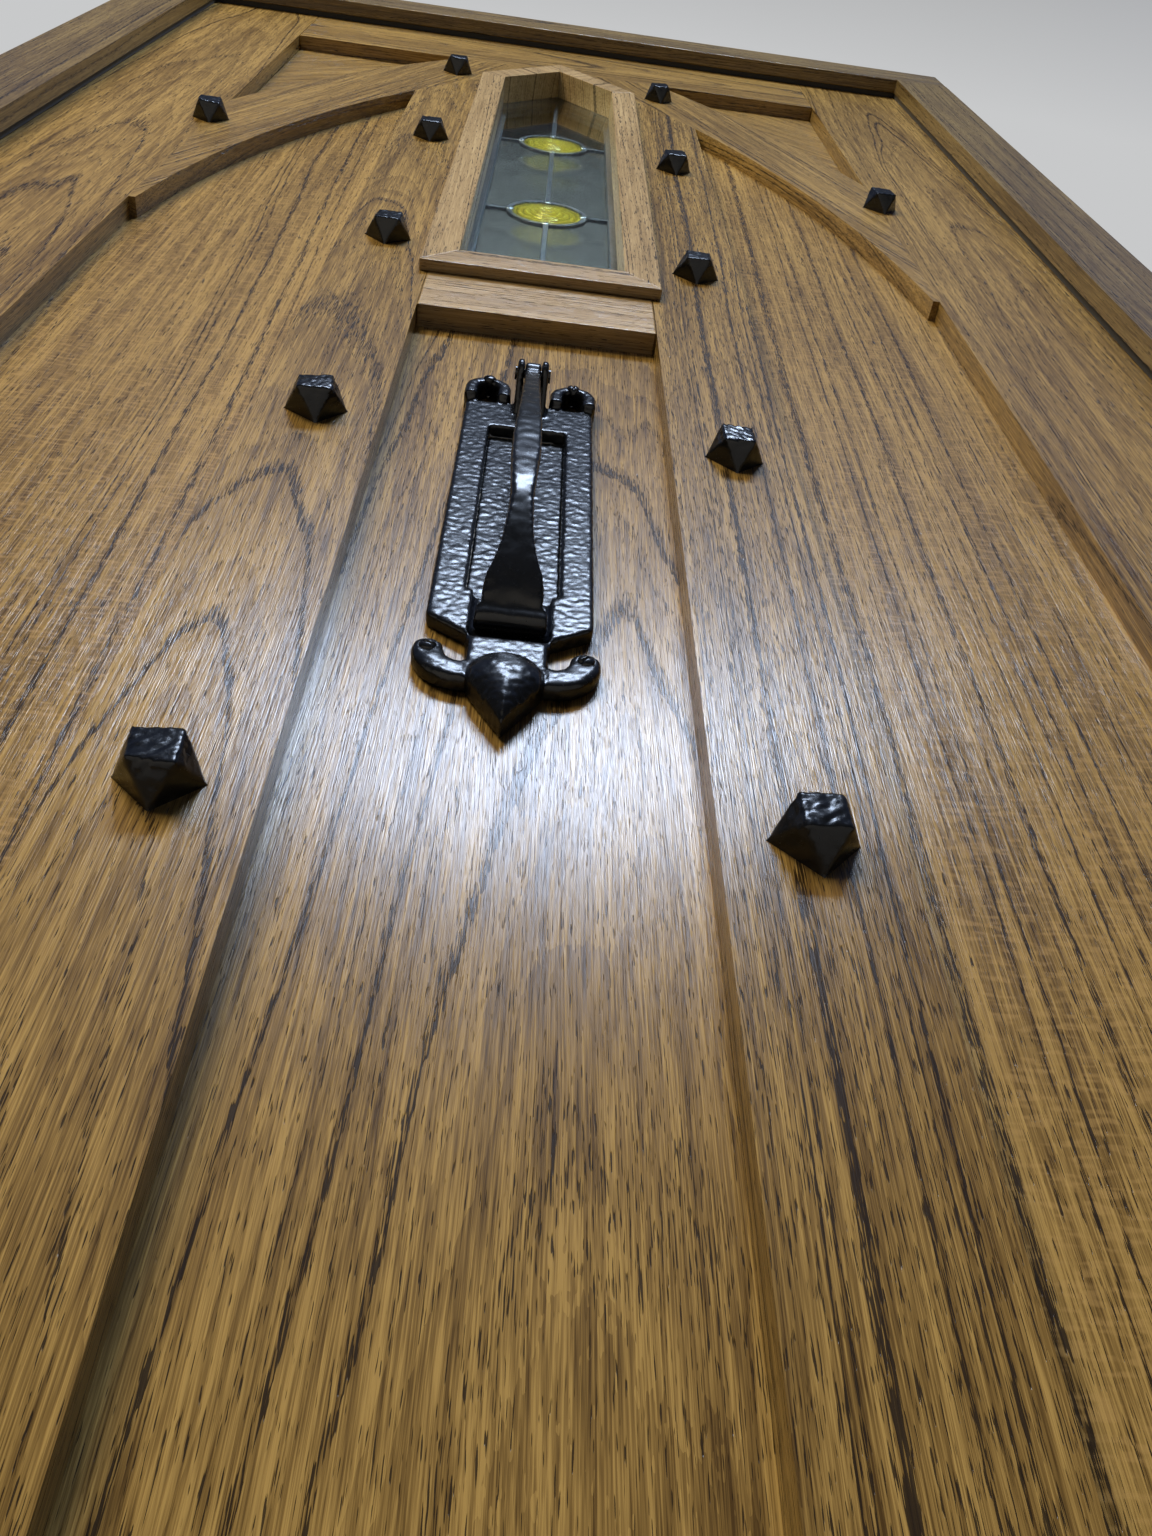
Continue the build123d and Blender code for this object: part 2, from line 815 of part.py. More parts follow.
# Stiles, with the mortises for the rails, and the beds of the hinges or of the lock
for side, sign in SIDES:
    with BuildPart() as stile:
        with BuildSketch(at_depth(leaf_thick)):
            corners(sign * stile_inner, leaf_foot, sign * leaf_half, leaf_top)
        extrude(amount=leaf_thick)
        add(joinery.part, mode=Mode.SUBTRACT)
        with BuildSketch(at_depth(tenon_front + tenon_thick)):
            add(top_tenons)
            add(bottom_tenons)
        extrude(amount=tenon_thick, mode=Mode.SUBTRACT)
        if side == "right":
            add(hinge_beds, mode=Mode.SUBTRACT)
            add(leaf_screws.part, mode=Mode.SUBTRACT)
        else:
            add(lock_blank.part, mode=Mode.SUBTRACT)
            with BuildSketch(at_depth(leaf_thick)):
                with Locations((spindle_x, spindle_z)):
                    Circle(knob_neck_radius + neck_gap)
                add(euro_outline())
            extrude(amount=leaf_thick, mode=Mode.SUBTRACT)
    save(stile, f"stile_{side}")

# Muntins, scribed under the arches at the top and stub-tenoned into the bottom rail
for side, sign in SIDES:
    with BuildPart() as muntin:
        with BuildSketch(at_depth(leaf_thick)):
            corners(sign * muntin_inner, bottom_rail_top, sign * muntin_outer, top_rail_foot)
            add(under_arch(sign, 0), mode=Mode.INTERSECT)
        extrude(amount=leaf_thick)
        add(joinery.part, mode=Mode.SUBTRACT)
        with BuildSketch(at_depth(tenon_front + tenon_thick)):
            add(mid_tenons)
        extrude(amount=tenon_thick, mode=Mode.SUBTRACT)
        with BuildSketch(at_depth(tenon_front + tenon_thick)):
            add(muntin_tenon(sign))
        extrude(amount=tenon_thick)
    save(muntin, f"muntin_{side}")

# Rails between the stiles, and the short one under the window
for name, low, high, half, tenons in (
    ("top_rail", top_rail_foot, leaf_top, stile_inner, top_tenons),
    ("bottom_rail", leaf_foot, bottom_rail_top, stile_inner, bottom_tenons),
    ("mid_rail", mid_rail_foot, mid_rail_top, muntin_inner, mid_tenons),
):
    with BuildPart() as rail:
        with BuildSketch(at_depth(leaf_thick)):
            corners(-half, low, half, high)
        extrude(amount=leaf_thick)
        add(joinery.part, mode=Mode.SUBTRACT)
        with BuildSketch(at_depth(tenon_front + tenon_thick)):
            add(tenons)
        extrude(amount=tenon_thick)
        with BuildSketch(at_depth(tenon_front + tenon_thick)):
            add(muntin_tenon(-1))
            add(muntin_tenon(1))
        extrude(amount=tenon_thick, mode=Mode.SUBTRACT)
    save(rail, name)

# Arched braces: a band between two arcs, cut to the window in the middle
for side, sign in SIDES:
    with BuildSketch() as cut_away:
        corners(sign * muntin_inner, leaf_foot, sign * leaf_half, leaf_top)
        add(under_arch(sign, 0), mode=Mode.INTERSECT)
    with BuildPart() as brace:
        with BuildSketch(at_depth(leaf_thick)):
            corners(0, brace_foot, sign * stile_inner, top_rail_foot)
            with Locations((-sign * arch_x, arch_z)):
                Circle(arch_radius + brace_wide, mode=Mode.INTERSECT)
            add(cut_away.sketch, mode=Mode.SUBTRACT)
            add(window_outline(bead_lap), mode=Mode.SUBTRACT)
        extrude(amount=leaf_thick)
        add(joinery.part, mode=Mode.SUBTRACT)
    save(brace, f"brace_{side}")

# Panels: a field as thick as the leaf less both recesses, and a tongue all round


def panel_part(field, tongue):
    with BuildPart() as panel:
        with BuildSketch(at_depth(panel_back)):
            add(field)
        extrude(amount=panel_back - panel_recess)
        with BuildSketch(at_depth(tongue_back)):
            add(tongue)
        extrude(amount=tongue_thick)
    return panel


for side, sign in SIDES:
    save(
        panel_part(side_panel_outline(sign, 0), side_panel_outline(sign, tongue_deep)),
        f"panel_{side}",
    )
    save(
        panel_part(spandrel_outline(sign, 0), spandrel_outline(sign, tongue_deep)),
        f"spandrel_{side}",
    )

# Window beads, mitred at the five corners, lapping over the timber outside and inside
bead_names = ("sill", "right", "slope_right", "slope_left", "left")
bead_lip = window_corners(0)
bead_body = window_corners(bead_lap)
bead_inner = window_corners(bead_face)
rear_bead_lengths = []
for number, name in enumerate(bead_names):
    after = (number + 1) % len(bead_names)
    for back, thick, outer, front in (
        (0, bead_proud, bead_lip, True),
        (leaf_thick + bead_proud, bead_proud, bead_lip, False),
    ):
        near = outer[number], outer[after], bead_inner[after], bead_inner[number]
        bed = bead_body[number], bead_body[after], bead_inner[after], bead_inner[number]
        with BuildPart() as bead:
            with BuildSketch(at_depth(back)):
                with BuildLine():
                    Polyline(*near, close=True)
                make_face()
            extrude(amount=thick)
            with BuildSketch(at_depth(glass_level if front else leaf_thick)):
                with BuildLine():
                    Polyline(*bed, close=True)
                make_face()
            extrude(amount=glass_level if front else leaf_thick - unit_back)
        if front:
            save(bead, f"bead_{name}")
        else:
            rear_bead_lengths.append(bead.part)
export_step(Compound(label="rear_beads", children=rear_bead_lengths), "parts/rear_beads.step")

# Sealed unit: two panes and two spacers round the leaded panel
for name, back, thick in (
    ("outer_pane", glass_level + glass_thick, glass_thick),
    ("inner_pane", unit_back, glass_thick),
):
    with BuildPart() as pane:
        with BuildSketch(at_depth(back)):
            add(window_outline(unit_inset))
        extrude(amount=thick)
    save(pane, name)

for name, back, thick in (
    ("front_spacer", came_front, front_cavity),
    ("rear_spacer", rear_pane, rear_cavity),
):
    with BuildPart() as spacer:
        with BuildSketch(at_depth(back)):
            add(window_outline(unit_inset + spacer_inset))
            add(window_outline(unit_inset + spacer_inset + spacer_wide), mode=Mode.SUBTRACT)
        extrude(amount=thick)
    save(spacer, name)


def lead_lines(width, border):
    """Border, uprights, cross lines and rings of the leading, each as wide as given."""
    with BuildSketch() as lines:
        add(window_outline(unit_inset))
        add(window_outline(unit_inset + border), mode=Mode.SUBTRACT)
        corners(-width / 2, bead_foot + sill_bead_face, width / 2, bead_peak - bead_face)
        for level in roundel_levels:
            with Locations((0, level)):
                Rectangle(2 * (muntin_inner - unit_inset), width)
            with Locations((0, level)):
                Circle(roundel_radius + width / 2)
        for level in roundel_levels:
            with Locations((0, level)):
                Circle(roundel_radius - width / 2, mode=Mode.SUBTRACT)
    return lines.sketch


with BuildPart() as lead_cames:
    with BuildSketch(at_depth(heart_front)):
        add(lead_lines(came_wide, border_came_wide))
    extrude(amount=heart_front - came_front)
    with BuildSketch(at_depth(heart_back)):
        add(lead_lines(came_heart, border_came_wide - came_lap))
    extrude(amount=quarry_thick)
    with BuildSketch(at_depth(came_back)):
        add(lead_lines(came_wide, border_came_wide))
    extrude(amount=came_back - heart_back)
save(lead_cames, "lead_cames")

with BuildPart() as clear_quarries:
    with BuildSketch(at_depth(heart_back)):
        add(window_outline(unit_inset))
        add(lead_lines(came_heart, border_came_wide - came_lap), mode=Mode.SUBTRACT)
        for level in roundel_levels:
            with Locations((0, level)):
                Circle(roundel_radius, mode=Mode.SUBTRACT)
    extrude(amount=quarry_thick)
save(clear_quarries, "clear_quarries")

# Spun roundels: rings of ripples round a boss, in yellow glass
glass_radius = roundel_radius - came_heart / 2
ripple_radius = roundel_radius - came_wide / 2
ripple_step = ripple_radius / (roundel_rings + 1)
for name, level in zip(("roundel_lower", "roundel_upper"), roundel_levels):
    with BuildPart() as roundel:
        with BuildSketch(along(0)):
            with BuildLine():
                Polyline(
                    (heart_front, level + ripple_radius),
                    (heart_front, level + glass_radius),
                    (heart_back, level + glass_radius),
                    (heart_back, level),
                    (heart_front - roundel_swell, level),
                    (heart_front - roundel_swell, level + boss_radius),
                    (heart_front, level + ripple_step),
                )
                for ring in range(1, roundel_rings + 1):
                    Polyline(
                        (heart_front, level + ring * ripple_step),
                        (heart_front - ripple_swell, level + (ring + ripple_flat) * ripple_step),
                        (heart_front - ripple_swell, level + (ring + 1 - ripple_flat) * ripple_step),
                        (heart_front, level + (ring + 1) * ripple_step),
                    )
            make_face()
        revolve(axis=Axis((0, 0, level), (0, 1, 0)))
    save(roundel, name)

# Studs: a square head turned over a square foot, so that eight triangles join them
with BuildPart() as turned_block:
    with BuildSketch(at_depth(0)):
        Rectangle(stud_across / sqrt(2), stud_across / sqrt(2), rotation=45)
    with BuildSketch(at_depth(-stud_high)):
        Rectangle(stud_top * sqrt(2), stud_top * sqrt(2), rotation=45)
    loft()
with BuildPart() as stud:
    with BuildSketch(at_depth(0)):
        Rectangle(stud_across, stud_across)
    with BuildSketch(at_depth(-stud_high)):
        Rectangle(stud_top, stud_top)
    loft()
    add(turned_block.part, mode=Mode.INTERSECT)
    with BuildSketch(at_depth(nail_long)):
        Circle(nail_radius)
    extrude(amount=nail_long)
with BuildPart() as door_studs:
    for number, (x, z) in enumerate(stud_places):
        turn = stud_turn * (number * 5 % 7 - 3) / 3
        with Locations(Location((x, 0, z), (0, turn, 0))):
            add(stud.part)
save(door_studs, "door_studs")

# Letter plate: a cast slab with hoods at the top, curled lobes and a heart at the foot
heart_angle = asin(heart_radius / heart_point)
heart_tangent_x = heart_radius * cos(heart_angle)
heart_tangent_z = heart_z - heart_radius * sin(heart_angle)
tab_half = ear_gap / 2 + ear_thick
hood_middle = (hood_radius + hood_hole) / 2
screw_places = [(sign * hood_reach, hood_z + hood_middle) for side, sign in SIDES]
screw_places += [(sign * (lobe_reach + lobe_bend), lobe_z) for side, sign in SIDES]
screw_seats = [plate_front - hood_proud] * 2 + [plate_front] * 2


def heart_outline():
    with BuildSketch() as heart:
        with Locations((0, heart_z)):
            Circle(heart_radius)
        with BuildLine():
            Polyline(
                (-heart_tangent_x, heart_tangent_z),
                (heart_tangent_x, heart_tangent_z),
                (0, heart_z - heart_point),
                close=True,
            )
        make_face()
    return heart.sketch


def hood_outline(sign):
    """An arch that stands on the plate's top edge, and is open below."""
    with BuildSketch() as outline:
        for radius, mode in ((hood_radius, Mode.ADD), (hood_hole, Mode.SUBTRACT)):
            with Locations((sign * hood_reach, hood_z)):
                Circle(radius, mode=mode)
            corners(
                sign * hood_reach - radius, plate_top, sign * hood_reach + radius, hood_z, mode=mode
            )
        corners(-plate_wide, hood_z - hood_radius, plate_wide, plate_top, mode=Mode.SUBTRACT)
    return outline.sketch


def plate_outline():
    with BuildSketch() as outline:
        with BuildLine():
            Polyline(
                (-plate_wide / 2, plate_top),
                (plate_wide / 2, plate_top),
                (plate_wide / 2, plate_foot),
                (channel_wide / 2, plate_foot - plate_slope),
                (-channel_wide / 2, plate_foot - plate_slope),
                (-plate_wide / 2, plate_foot),
                close=True,
            )
        make_face()
        fillet(outline.vertices().group_by(Axis.X)[0], plate_corner)
        fillet(outline.vertices().group_by(Axis.X)[-1], plate_corner)
        corners(-neck_wide / 2, heart_z, neck_wide / 2, plate_foot - plate_slope)
        corners(-tab_half, plate_top - plate_corner, tab_half, plate_top + finial_rise)
        with Locations((0, plate_top + finial_rise)):
            Circle(finial_radius)
        for side, sign in SIDES:
            lobe = CenterArc((sign * lobe_reach, lobe_z), lobe_bend, 180, 180)
            SlotArc(lobe, lobe_wide)
            add(hood_outline(sign))
        add(heart_outline())
    return outline.sketch


with BuildPart() as plate_screws:
    for (x, z), seat in zip(screw_places, screw_seats):
        with BuildSketch(at_depth(seat)):
            with Locations((x, z)):
                Circle(screw_head_radius)
        extrude(amount=screw_head_high, taper=30)
        with BuildSketch(at_depth(seat + screw_long)):
            with Locations((x, z)):
                Circle(screw_radius)
        extrude(amount=screw_long)
save(plate_screws, "plate_screws")

with BuildPart() as letter_plate:
    with BuildSketch(at_depth(panel_recess)):
        add(plate_outline())
    extrude(amount=plate_thick)
    with BuildSketch(at_depth(plate_front)):
        add(heart_outline())
    extrude(amount=heart_proud, taper=heart_slope)
    for side, sign in SIDES:
        with BuildSketch(at_depth(plate_front)):
            add(hood_outline(sign))
        extrude(amount=hood_proud)
    # Slot for the letters, and the channel below it that takes the foot of the knocker
    with BuildSketch(at_depth(panel_recess)):
        corners(-slot_wide / 2, slot_foot, slot_wide / 2, slot_top)
    extrude(amount=plate_thick, mode=Mode.SUBTRACT)
    with BuildSketch(at_depth(channel_floor)):
        corners(
            -channel_wide / 2, foot_z - 2 * foot_radius, channel_wide / 2, slot_foot
        )
    extrude(amount=channel_deep, mode=Mode.SUBTRACT)
    # Ears of the knocker
    for side, sign in SIDES:
        with BuildSketch(along(sign * ear_gap / 2)):
            with Locations((pivot_y, pivot_z)):
                Circle(ear_radius)
            corners(plate_front - 1, pivot_z - ear_radius * 2, plate_front + 1, pivot_z + ear_radius)
            make_hull()
        extrude(amount=sign * ear_thick)
    with BuildSketch(along(-tab_half)):
        with Locations((pivot_y, pivot_z)):
            Circle(pin_radius)
    extrude(amount=2 * tab_half, mode=Mode.SUBTRACT)
    # Lugs behind the slot that hold the flap's pin
    for low in (slot_foot + flap_gap - lug_gap - lug_long, slot_top - flap_gap + lug_gap):
        with BuildSketch(Plane.XY.offset(low)):
            corners(
                flap_pin_x - barrel_radius, panel_recess, flap_pin_x + barrel_radius, flap_pin_y
            )
            with Locations((flap_pin_x, flap_pin_y)):
                Circle(barrel_radius)
                Circle(flap_pin_radius, mode=Mode.SUBTRACT)
        extrude(amount=lug_long)
    add(plate_screws.part, mode=Mode.SUBTRACT)
save(letter_plate, "letter_plate")

# Flap, with the barrel on its back that turns on the pin; the spring fills the barrel's gap
barrel_low = slot_foot + flap_gap
barrel_high = slot_top - flap_gap
spring_room = spring_turns * spring_pitch + 2 * spring_wire + lug_gap
with BuildPart() as letter_flap:
    with BuildSketch(at_depth(flap_back)):
        corners(-flap_half, barrel_low, flap_half, barrel_high)
    extrude(amount=flap_thick)
    with BuildSketch(Plane.XY.offset(barrel_low)):
        corners(
            flap_pin_x - barrel_radius / 2, flap_back, flap_pin_x + barrel_radius / 2, flap_pin_y
        )
        with Locations((flap_pin_x, flap_pin_y)):
            Circle(barrel_radius)
            Circle(flap_pin_radius + pin_gap, mode=Mode.SUBTRACT)
    extrude(amount=barrel_high - spring_room - barrel_low)
save(letter_flap, "letter_flap")

with BuildPart() as flap_spring:
    with BuildLine():
        coil = Helix(
            spring_pitch,
            spring_turns * spring_pitch,
            spring_radius,
            center=(flap_pin_x, flap_pin_y, barrel_high - spring_room + spring_wire),
        )
    with BuildSketch(coil ^ 0):
        RegularPolygon(spring_wire / 2, 6)
    sweep(is_frenet=True)
save(flap_spring, "flap_spring")

# Pins of the flap and of the knocker, fixed in the plate
with BuildPart() as plate_pins:
    with BuildSketch(Plane.XY.offset(barrel_low - lug_gap - lug_long)):
        with Locations((flap_pin_x, flap_pin_y)):
            Circle(flap_pin_radius)
    extrude(amount=barrel_high - barrel_low + 2 * (lug_gap + lug_long))
    with BuildSketch(along(-tab_half)):
        with Locations((pivot_y, pivot_z)):
            Circle(pin_radius)
    extrude(amount=2 * tab_half)
    for side, sign in SIDES:
        with BuildSketch(along(sign * tab_half)):
            with Locations((pivot_y, pivot_z)):
                Circle(pin_radius * 3 / 2)
        extrude(amount=sign * pin_radius / 2)
save(plate_pins, "plate_pins")

# Knocker: a bowed bar cut to its outline, with an eye at the top and a flared, rolled foot
with BuildPart() as knocker_outline:
    with BuildSketch(at_depth(plate_front + arm_long / 2)):
        with BuildLine():
            edge = Spline(
                (arm_eye_wide / 2, pivot_z - eye_radius * 2),
                (arm_belly / 2, pivot_z - arm_belly_drop),
                (arm_waist / 2, foot_z + arm_waist_rise),
                (paddle_wide / 2, foot_z + paddle_rise),
                tangents=((0, -1), (0, -1)),
            )
            Polyline(
                edge @ 0,
                (arm_eye_wide / 2, pivot_z + 2 * eye_radius),
                (0, pivot_z + 2 * eye_radius),
            )
            Polyline(
                edge @ 1,
                (foot_wide / 2, foot_z + foot_radius),
                (foot_wide / 2, foot_z - 2 * foot_radius),
                (0, foot_z - 2 * foot_radius),
            )
            mirror(about=Plane.YZ)
        make_face()
    extrude(amount=arm_long)

with BuildPart() as knocker:
    with BuildSketch(along(-foot_wide / 2)):
        with BuildLine():
            middle = Spline(
                (pivot_y, pivot_z),
                (pivot_y - arm_bow, pivot_z - arm_bow_drop),
                (foot_y, foot_z),
                tangents=((-arm_rise_slope, -1), (arm_foot_slope, -1)),
            )
        trace(line_width=arm_thick)
        with Locations((pivot_y, pivot_z)):
            Circle(eye_radius)
        with Locations((foot_y, foot_z)):
            Circle(foot_radius)
    extrude(amount=foot_wide)
    add(knocker_outline.part, mode=Mode.INTERSECT)
    with BuildSketch(along(-foot_wide / 2)):
        with Locations((pivot_y, pivot_z)):
            Circle(pin_radius + pin_gap)
    extrude(amount=foot_wide, mode=Mode.SUBTRACT)
save(knocker, "knocker")

# Centre panel, with the tunnel that the letters fall through
with BuildPart() as panel_centre:
    with BuildSketch(at_depth(panel_back)):
        add(centre_panel_outline(0))
    extrude(amount=panel_back - panel_recess)
    with BuildSketch(at_depth(tongue_back)):
        add(centre_panel_outline(tongue_deep))
    extrude(amount=tongue_thick)
    with BuildSketch(at_depth(panel_back)):
        corners(
            -slot_wide / 2 - tunnel_gap,
            slot_foot - tunnel_margin,
            flap_pin_x + barrel_radius + tunnel_gap,
            slot_top + tunnel_margin,
        )
    extrude(amount=panel_back - panel_recess, mode=Mode.SUBTRACT)
    add(plate_screws.part, mode=Mode.SUBTRACT)
save(panel_centre, "panel_centre")
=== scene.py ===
from math import asin, atan2, cos, degrees, exp, pi, radians, sin, sqrt

import bmesh
import bpy
from mathutils import Matrix, Vector, noise


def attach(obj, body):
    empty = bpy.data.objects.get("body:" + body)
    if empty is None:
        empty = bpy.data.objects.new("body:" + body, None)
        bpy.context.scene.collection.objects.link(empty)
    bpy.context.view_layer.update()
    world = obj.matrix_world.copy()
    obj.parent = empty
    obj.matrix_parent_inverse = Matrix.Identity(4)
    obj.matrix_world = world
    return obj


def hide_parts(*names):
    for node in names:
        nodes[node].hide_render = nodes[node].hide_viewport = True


# %% [markdown]
# An arched oak front door, dressed for its picture.
# The solids of the door come from CAD, already in their places and in metres.
# This lesson gives each of them the finish of the real thing: stained oak under lacquer,
# black hammered iron, leaded glass. A few pieces that a forge or a glass-blower would
# shape by hand are modelled again here with the irregular surface that the hand leaves.

# %% The door as it comes from CAD
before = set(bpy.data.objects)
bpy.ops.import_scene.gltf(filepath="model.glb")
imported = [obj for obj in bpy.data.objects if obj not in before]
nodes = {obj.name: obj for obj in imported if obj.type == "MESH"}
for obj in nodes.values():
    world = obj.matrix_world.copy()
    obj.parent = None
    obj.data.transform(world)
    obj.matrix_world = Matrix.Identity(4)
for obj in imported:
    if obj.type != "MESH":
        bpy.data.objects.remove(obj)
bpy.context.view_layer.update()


# %% [markdown]
# Colours are given as sRGB hex values, the way a paint card or an image editor
# shows them. Shaders work in linear light, so one function turns the one into the other.
# A second function adds a shader node: settings that the node has as attributes are set
# as such, all others are socket values, and links join sockets to what feeds them.

# %% Helpers for every material
def colour(code):
    """An sRGB hex value as linear red, green, blue and alpha."""
    channels = [int(code[i : i + 2], 16) / 255 for i in (1, 3, 5)]
    return (*[c / 12.92 if c <= 0.04045 else ((c + 0.055) / 1.055) ** 2.4 for c in channels], 1.0)


def add(tree, kind, settings=None, links=None):
    """A node of that kind, with its settings, and its inputs linked to other sockets."""
    node = tree.nodes.new(kind)
    for key, value in (settings or {}).items():
        if isinstance(key, str) and hasattr(node, key):
            setattr(node, key, value)
        else:
            node.inputs[key].default_value = value
    for key, source in (links or {}).items():
        tree.links.new(source, node.inputs[key])
    return node


def new_material(name):
    """An empty material and its tree of nodes."""
    material = bpy.data.materials.new(name)
    material.use_nodes = True
    material.node_tree.nodes.clear()
    return material, material.node_tree


def finish_with(tree, shader):
    """Makes this shader the surface of its material."""
    tree.links.new(shader.outputs[0], tree.nodes.new("ShaderNodeOutputMaterial").inputs["Surface"])


def dress(name, material):
    """Gives a CAD solid its material."""
    mesh = nodes[name].data
    mesh.materials.clear()
    mesh.materials.append(material)


print("sample colour", [round(c, 3) for c in colour("#8E6E40")])

# %% [markdown]
# The timber is European oak: plain-sawn boards with a brown stain and a satin lacquer.
# What the eye reads as oak is a set of patterns at different sizes. Growth rings about
# 4 mm apart cut the face of the board in long lines or, where the saw passed near the
# heart, in tall arches. Each ring starts with a band of open pores, which hold the dark
# stain and lie in the face as dashes half a millimetre wide and a centimetre long.
# Between them the summer wood is dense and pale, and streaked by its fibres.

# %% Sizes of the oak's figure, in millimetres
MM = 1000.0  # object coordinates are metres
RING_WIDE = 3.7
SPELL_WIDE = 17.0  # wood grown in one spell of good or poor years
SPELL_SHIFT = 16.0  # by how much such a spell moves the rings apart
RING_EDGE = (1.5, 9.0)  # teeth of a ring's edge, wide and long
RING_EDGE_DEEP = 0.8
WET_SPELL_WIDE = 7.0
PORE_WIDE = 0.48
PORE_LONG = 10.0
WANDER_WIDE = 70.0
WANDER_LONG = 420.0
FLECK_WIDE = 9.0
FLECK_HIGH = 2.4
# Streaks of the fibres: wide, long, place in the noise and its roughness
STREAKS = {
    "wide": (8.0, 320.0, 15, 0.55),
    "broad": (1.9, 90.0, 3, 0.6),
    "fine": (0.5, 32.0, 9, 0.65),
    "cloud": (38.0, 300.0, 21, 0.5),
}
print("streaks of the oak from", STREAKS["fine"][0], "to", STREAKS["cloud"][0], "mm wide")


# %% [markdown]
# Two small tools do most of the work on the wood. The first is noise drawn out along the
# grain, which gives fibres, pores and the wander of the stem by its size alone. The second
# lays patterns over each other, each with a weight, as a stainer builds up coats.

# %% Noise along the grain, and patterns laid over each other
def stretched_noise(tree, vector, wide, long, shift, detail=2.0, rough=0.5):
    """Noise drawn out along the grain, wide by long in millimetres."""
    laid = add(
        tree, "ShaderNodeMapping",
        {"Scale": (1 / wide, 1 / wide, 1 / long), "Location": (shift, shift / 3, 0)}, {"Vector": vector},
    )
    return add(
        tree, "ShaderNodeTexNoise",
        {"Scale": 1.0, "Detail": detail, "Roughness": rough}, {"Vector": laid.outputs[0]},
    )


def layered(tree, ground, *coats):
    """An even ground with patterns laid over it, each times its weight."""
    under = {}
    for pattern, weight in coats:
        coat = add(
            tree, "ShaderNodeMath", {"operation": "MULTIPLY_ADD", 1: weight, 2: ground}, {0: pattern, **under}
        )
        under = {2: coat.outputs[0]}
    return coat.outputs[0]


# %% [markdown]
# All of the figure can be worked out from where a point lay in the log. Its distance from
# the heart gives the ring, so each board gets the place of the heart, the taper of the log
# and a shift of its own, and no two boards match. The heart lies deeper behind the face
# as the log tapers, which turns the rings into arches, as on a sawn board.

# %% Where a point of a board lay in the log
def place_in_log(tree, turn, heart, depth, taper, wander, shift):
    """The point in the grown wood, and its distance from the heart, in millimetres."""
    where = add(tree, "ShaderNodeTexCoord")
    log = add(
        tree, "ShaderNodeMapping",
        {"Scale": (MM, MM, MM), "Rotation": (0, radians(turn), 0), "Location": (0, 0, shift)},
        {"Vector": where.outputs["Object"]},
    ).outputs[0]
    # The grain wanders from side to side, as the tree grew round its branches
    bend = stretched_noise(tree, log, WANDER_WIDE, WANDER_LONG, shift)
    sway = add(
        tree, "ShaderNodeVectorMath",
        {"operation": "MULTIPLY_ADD", 1: (wander, wander, 0), 2: (-wander / 2,) * 3},
        {0: bend.outputs["Color"]},
    )
    grown = add(tree, "ShaderNodeVectorMath", {"operation": "ADD"}, {0: log, 1: sway.outputs[0]}).outputs[0]
    apart = add(tree, "ShaderNodeSeparateXYZ", links={0: grown})
    across = layered(tree, -heart, (apart.outputs["X"], 1.0))
    inward = layered(tree, depth, (apart.outputs["Z"], taper), (apart.outputs["Y"], 1.0))
    spoke = add(tree, "ShaderNodeCombineXYZ", links={"X": across, "Y": inward})
    radius = add(tree, "ShaderNodeVectorMath", {"operation": "LENGTH"}, {0: spoke.outputs[0]})
    return grown, radius.outputs["Value"]


# %% [markdown]
# A year's growth starts with porous spring wood and ends with dense summer wood. Counting
# the years from the heart and keeping the fraction gives the season at each point. The
# porous band is broad in wet years and faint in dry ones. The pores are drawn-out noise
# cut off at a height, and the band pulls more of them above the cut.

# %% Rings and pores
BAND_FADE = (0.42, 0.08)  # season by which the porous band has ended, and up to which it is full
WET_NOISE = (0.42, 0.62)  # height of the noise in a dry spell and in a wet one
WET_PLACE = 300.0  # keeps the wet spells apart from the other patterns in the noise
DRY_BAND = 0.12  # strength of the band in a dry spell
PORE_CUT = (0.645, 0.69)  # height of the noise at which a pore begins and is full
PORE_GROUND = -0.014  # lowers the noise everywhere, so that plain wood has few pores
BAND_PULL = 0.215  # raises it in the band


def spring_wood(tree, grown, radius, shift):
    """The season from 0 to 1, and the porous band that each year starts with."""
    spells = add(
        tree, "ShaderNodeTexNoise",
        {"noise_dimensions": "1D", "Scale": 1 / SPELL_WIDE, "Detail": 1.0}, {"W": radius},
    )
    edge = stretched_noise(tree, grown, *RING_EDGE, shift + 40, detail=1.0)
    years = layered(
        tree, 0.0, (radius, 1 / RING_WIDE), (spells.outputs[0], SPELL_SHIFT / RING_WIDE),
        (edge.outputs[0], RING_EDGE_DEEP / RING_WIDE),
    )
    season = add(tree, "ShaderNodeMath", {"operation": "FRACT"}, {0: years}).outputs[0]
    wet = add(
        tree, "ShaderNodeTexNoise",
        {"noise_dimensions": "1D", "Scale": 1 / WET_SPELL_WIDE, "Detail": 0.0},
        {"W": layered(tree, WET_PLACE + shift, (radius, 1.0))},
    )
    strength = add(
        tree, "ShaderNodeMapRange",
        {"From Min": WET_NOISE[0], "From Max": WET_NOISE[1], "To Min": DRY_BAND}, {"Value": wet.outputs[0]},
    )
    start = add(
        tree, "ShaderNodeMapRange",
        {"From Min": BAND_FADE[0], "From Max": BAND_FADE[1], "interpolation_type": "SMOOTHSTEP"},
        {"Value": season},
    )
    band = add(
        tree, "ShaderNodeMath", {"operation": "MULTIPLY"}, {0: start.outputs[0], 1: strength.outputs[0]}
    )
    return season, band.outputs[0]


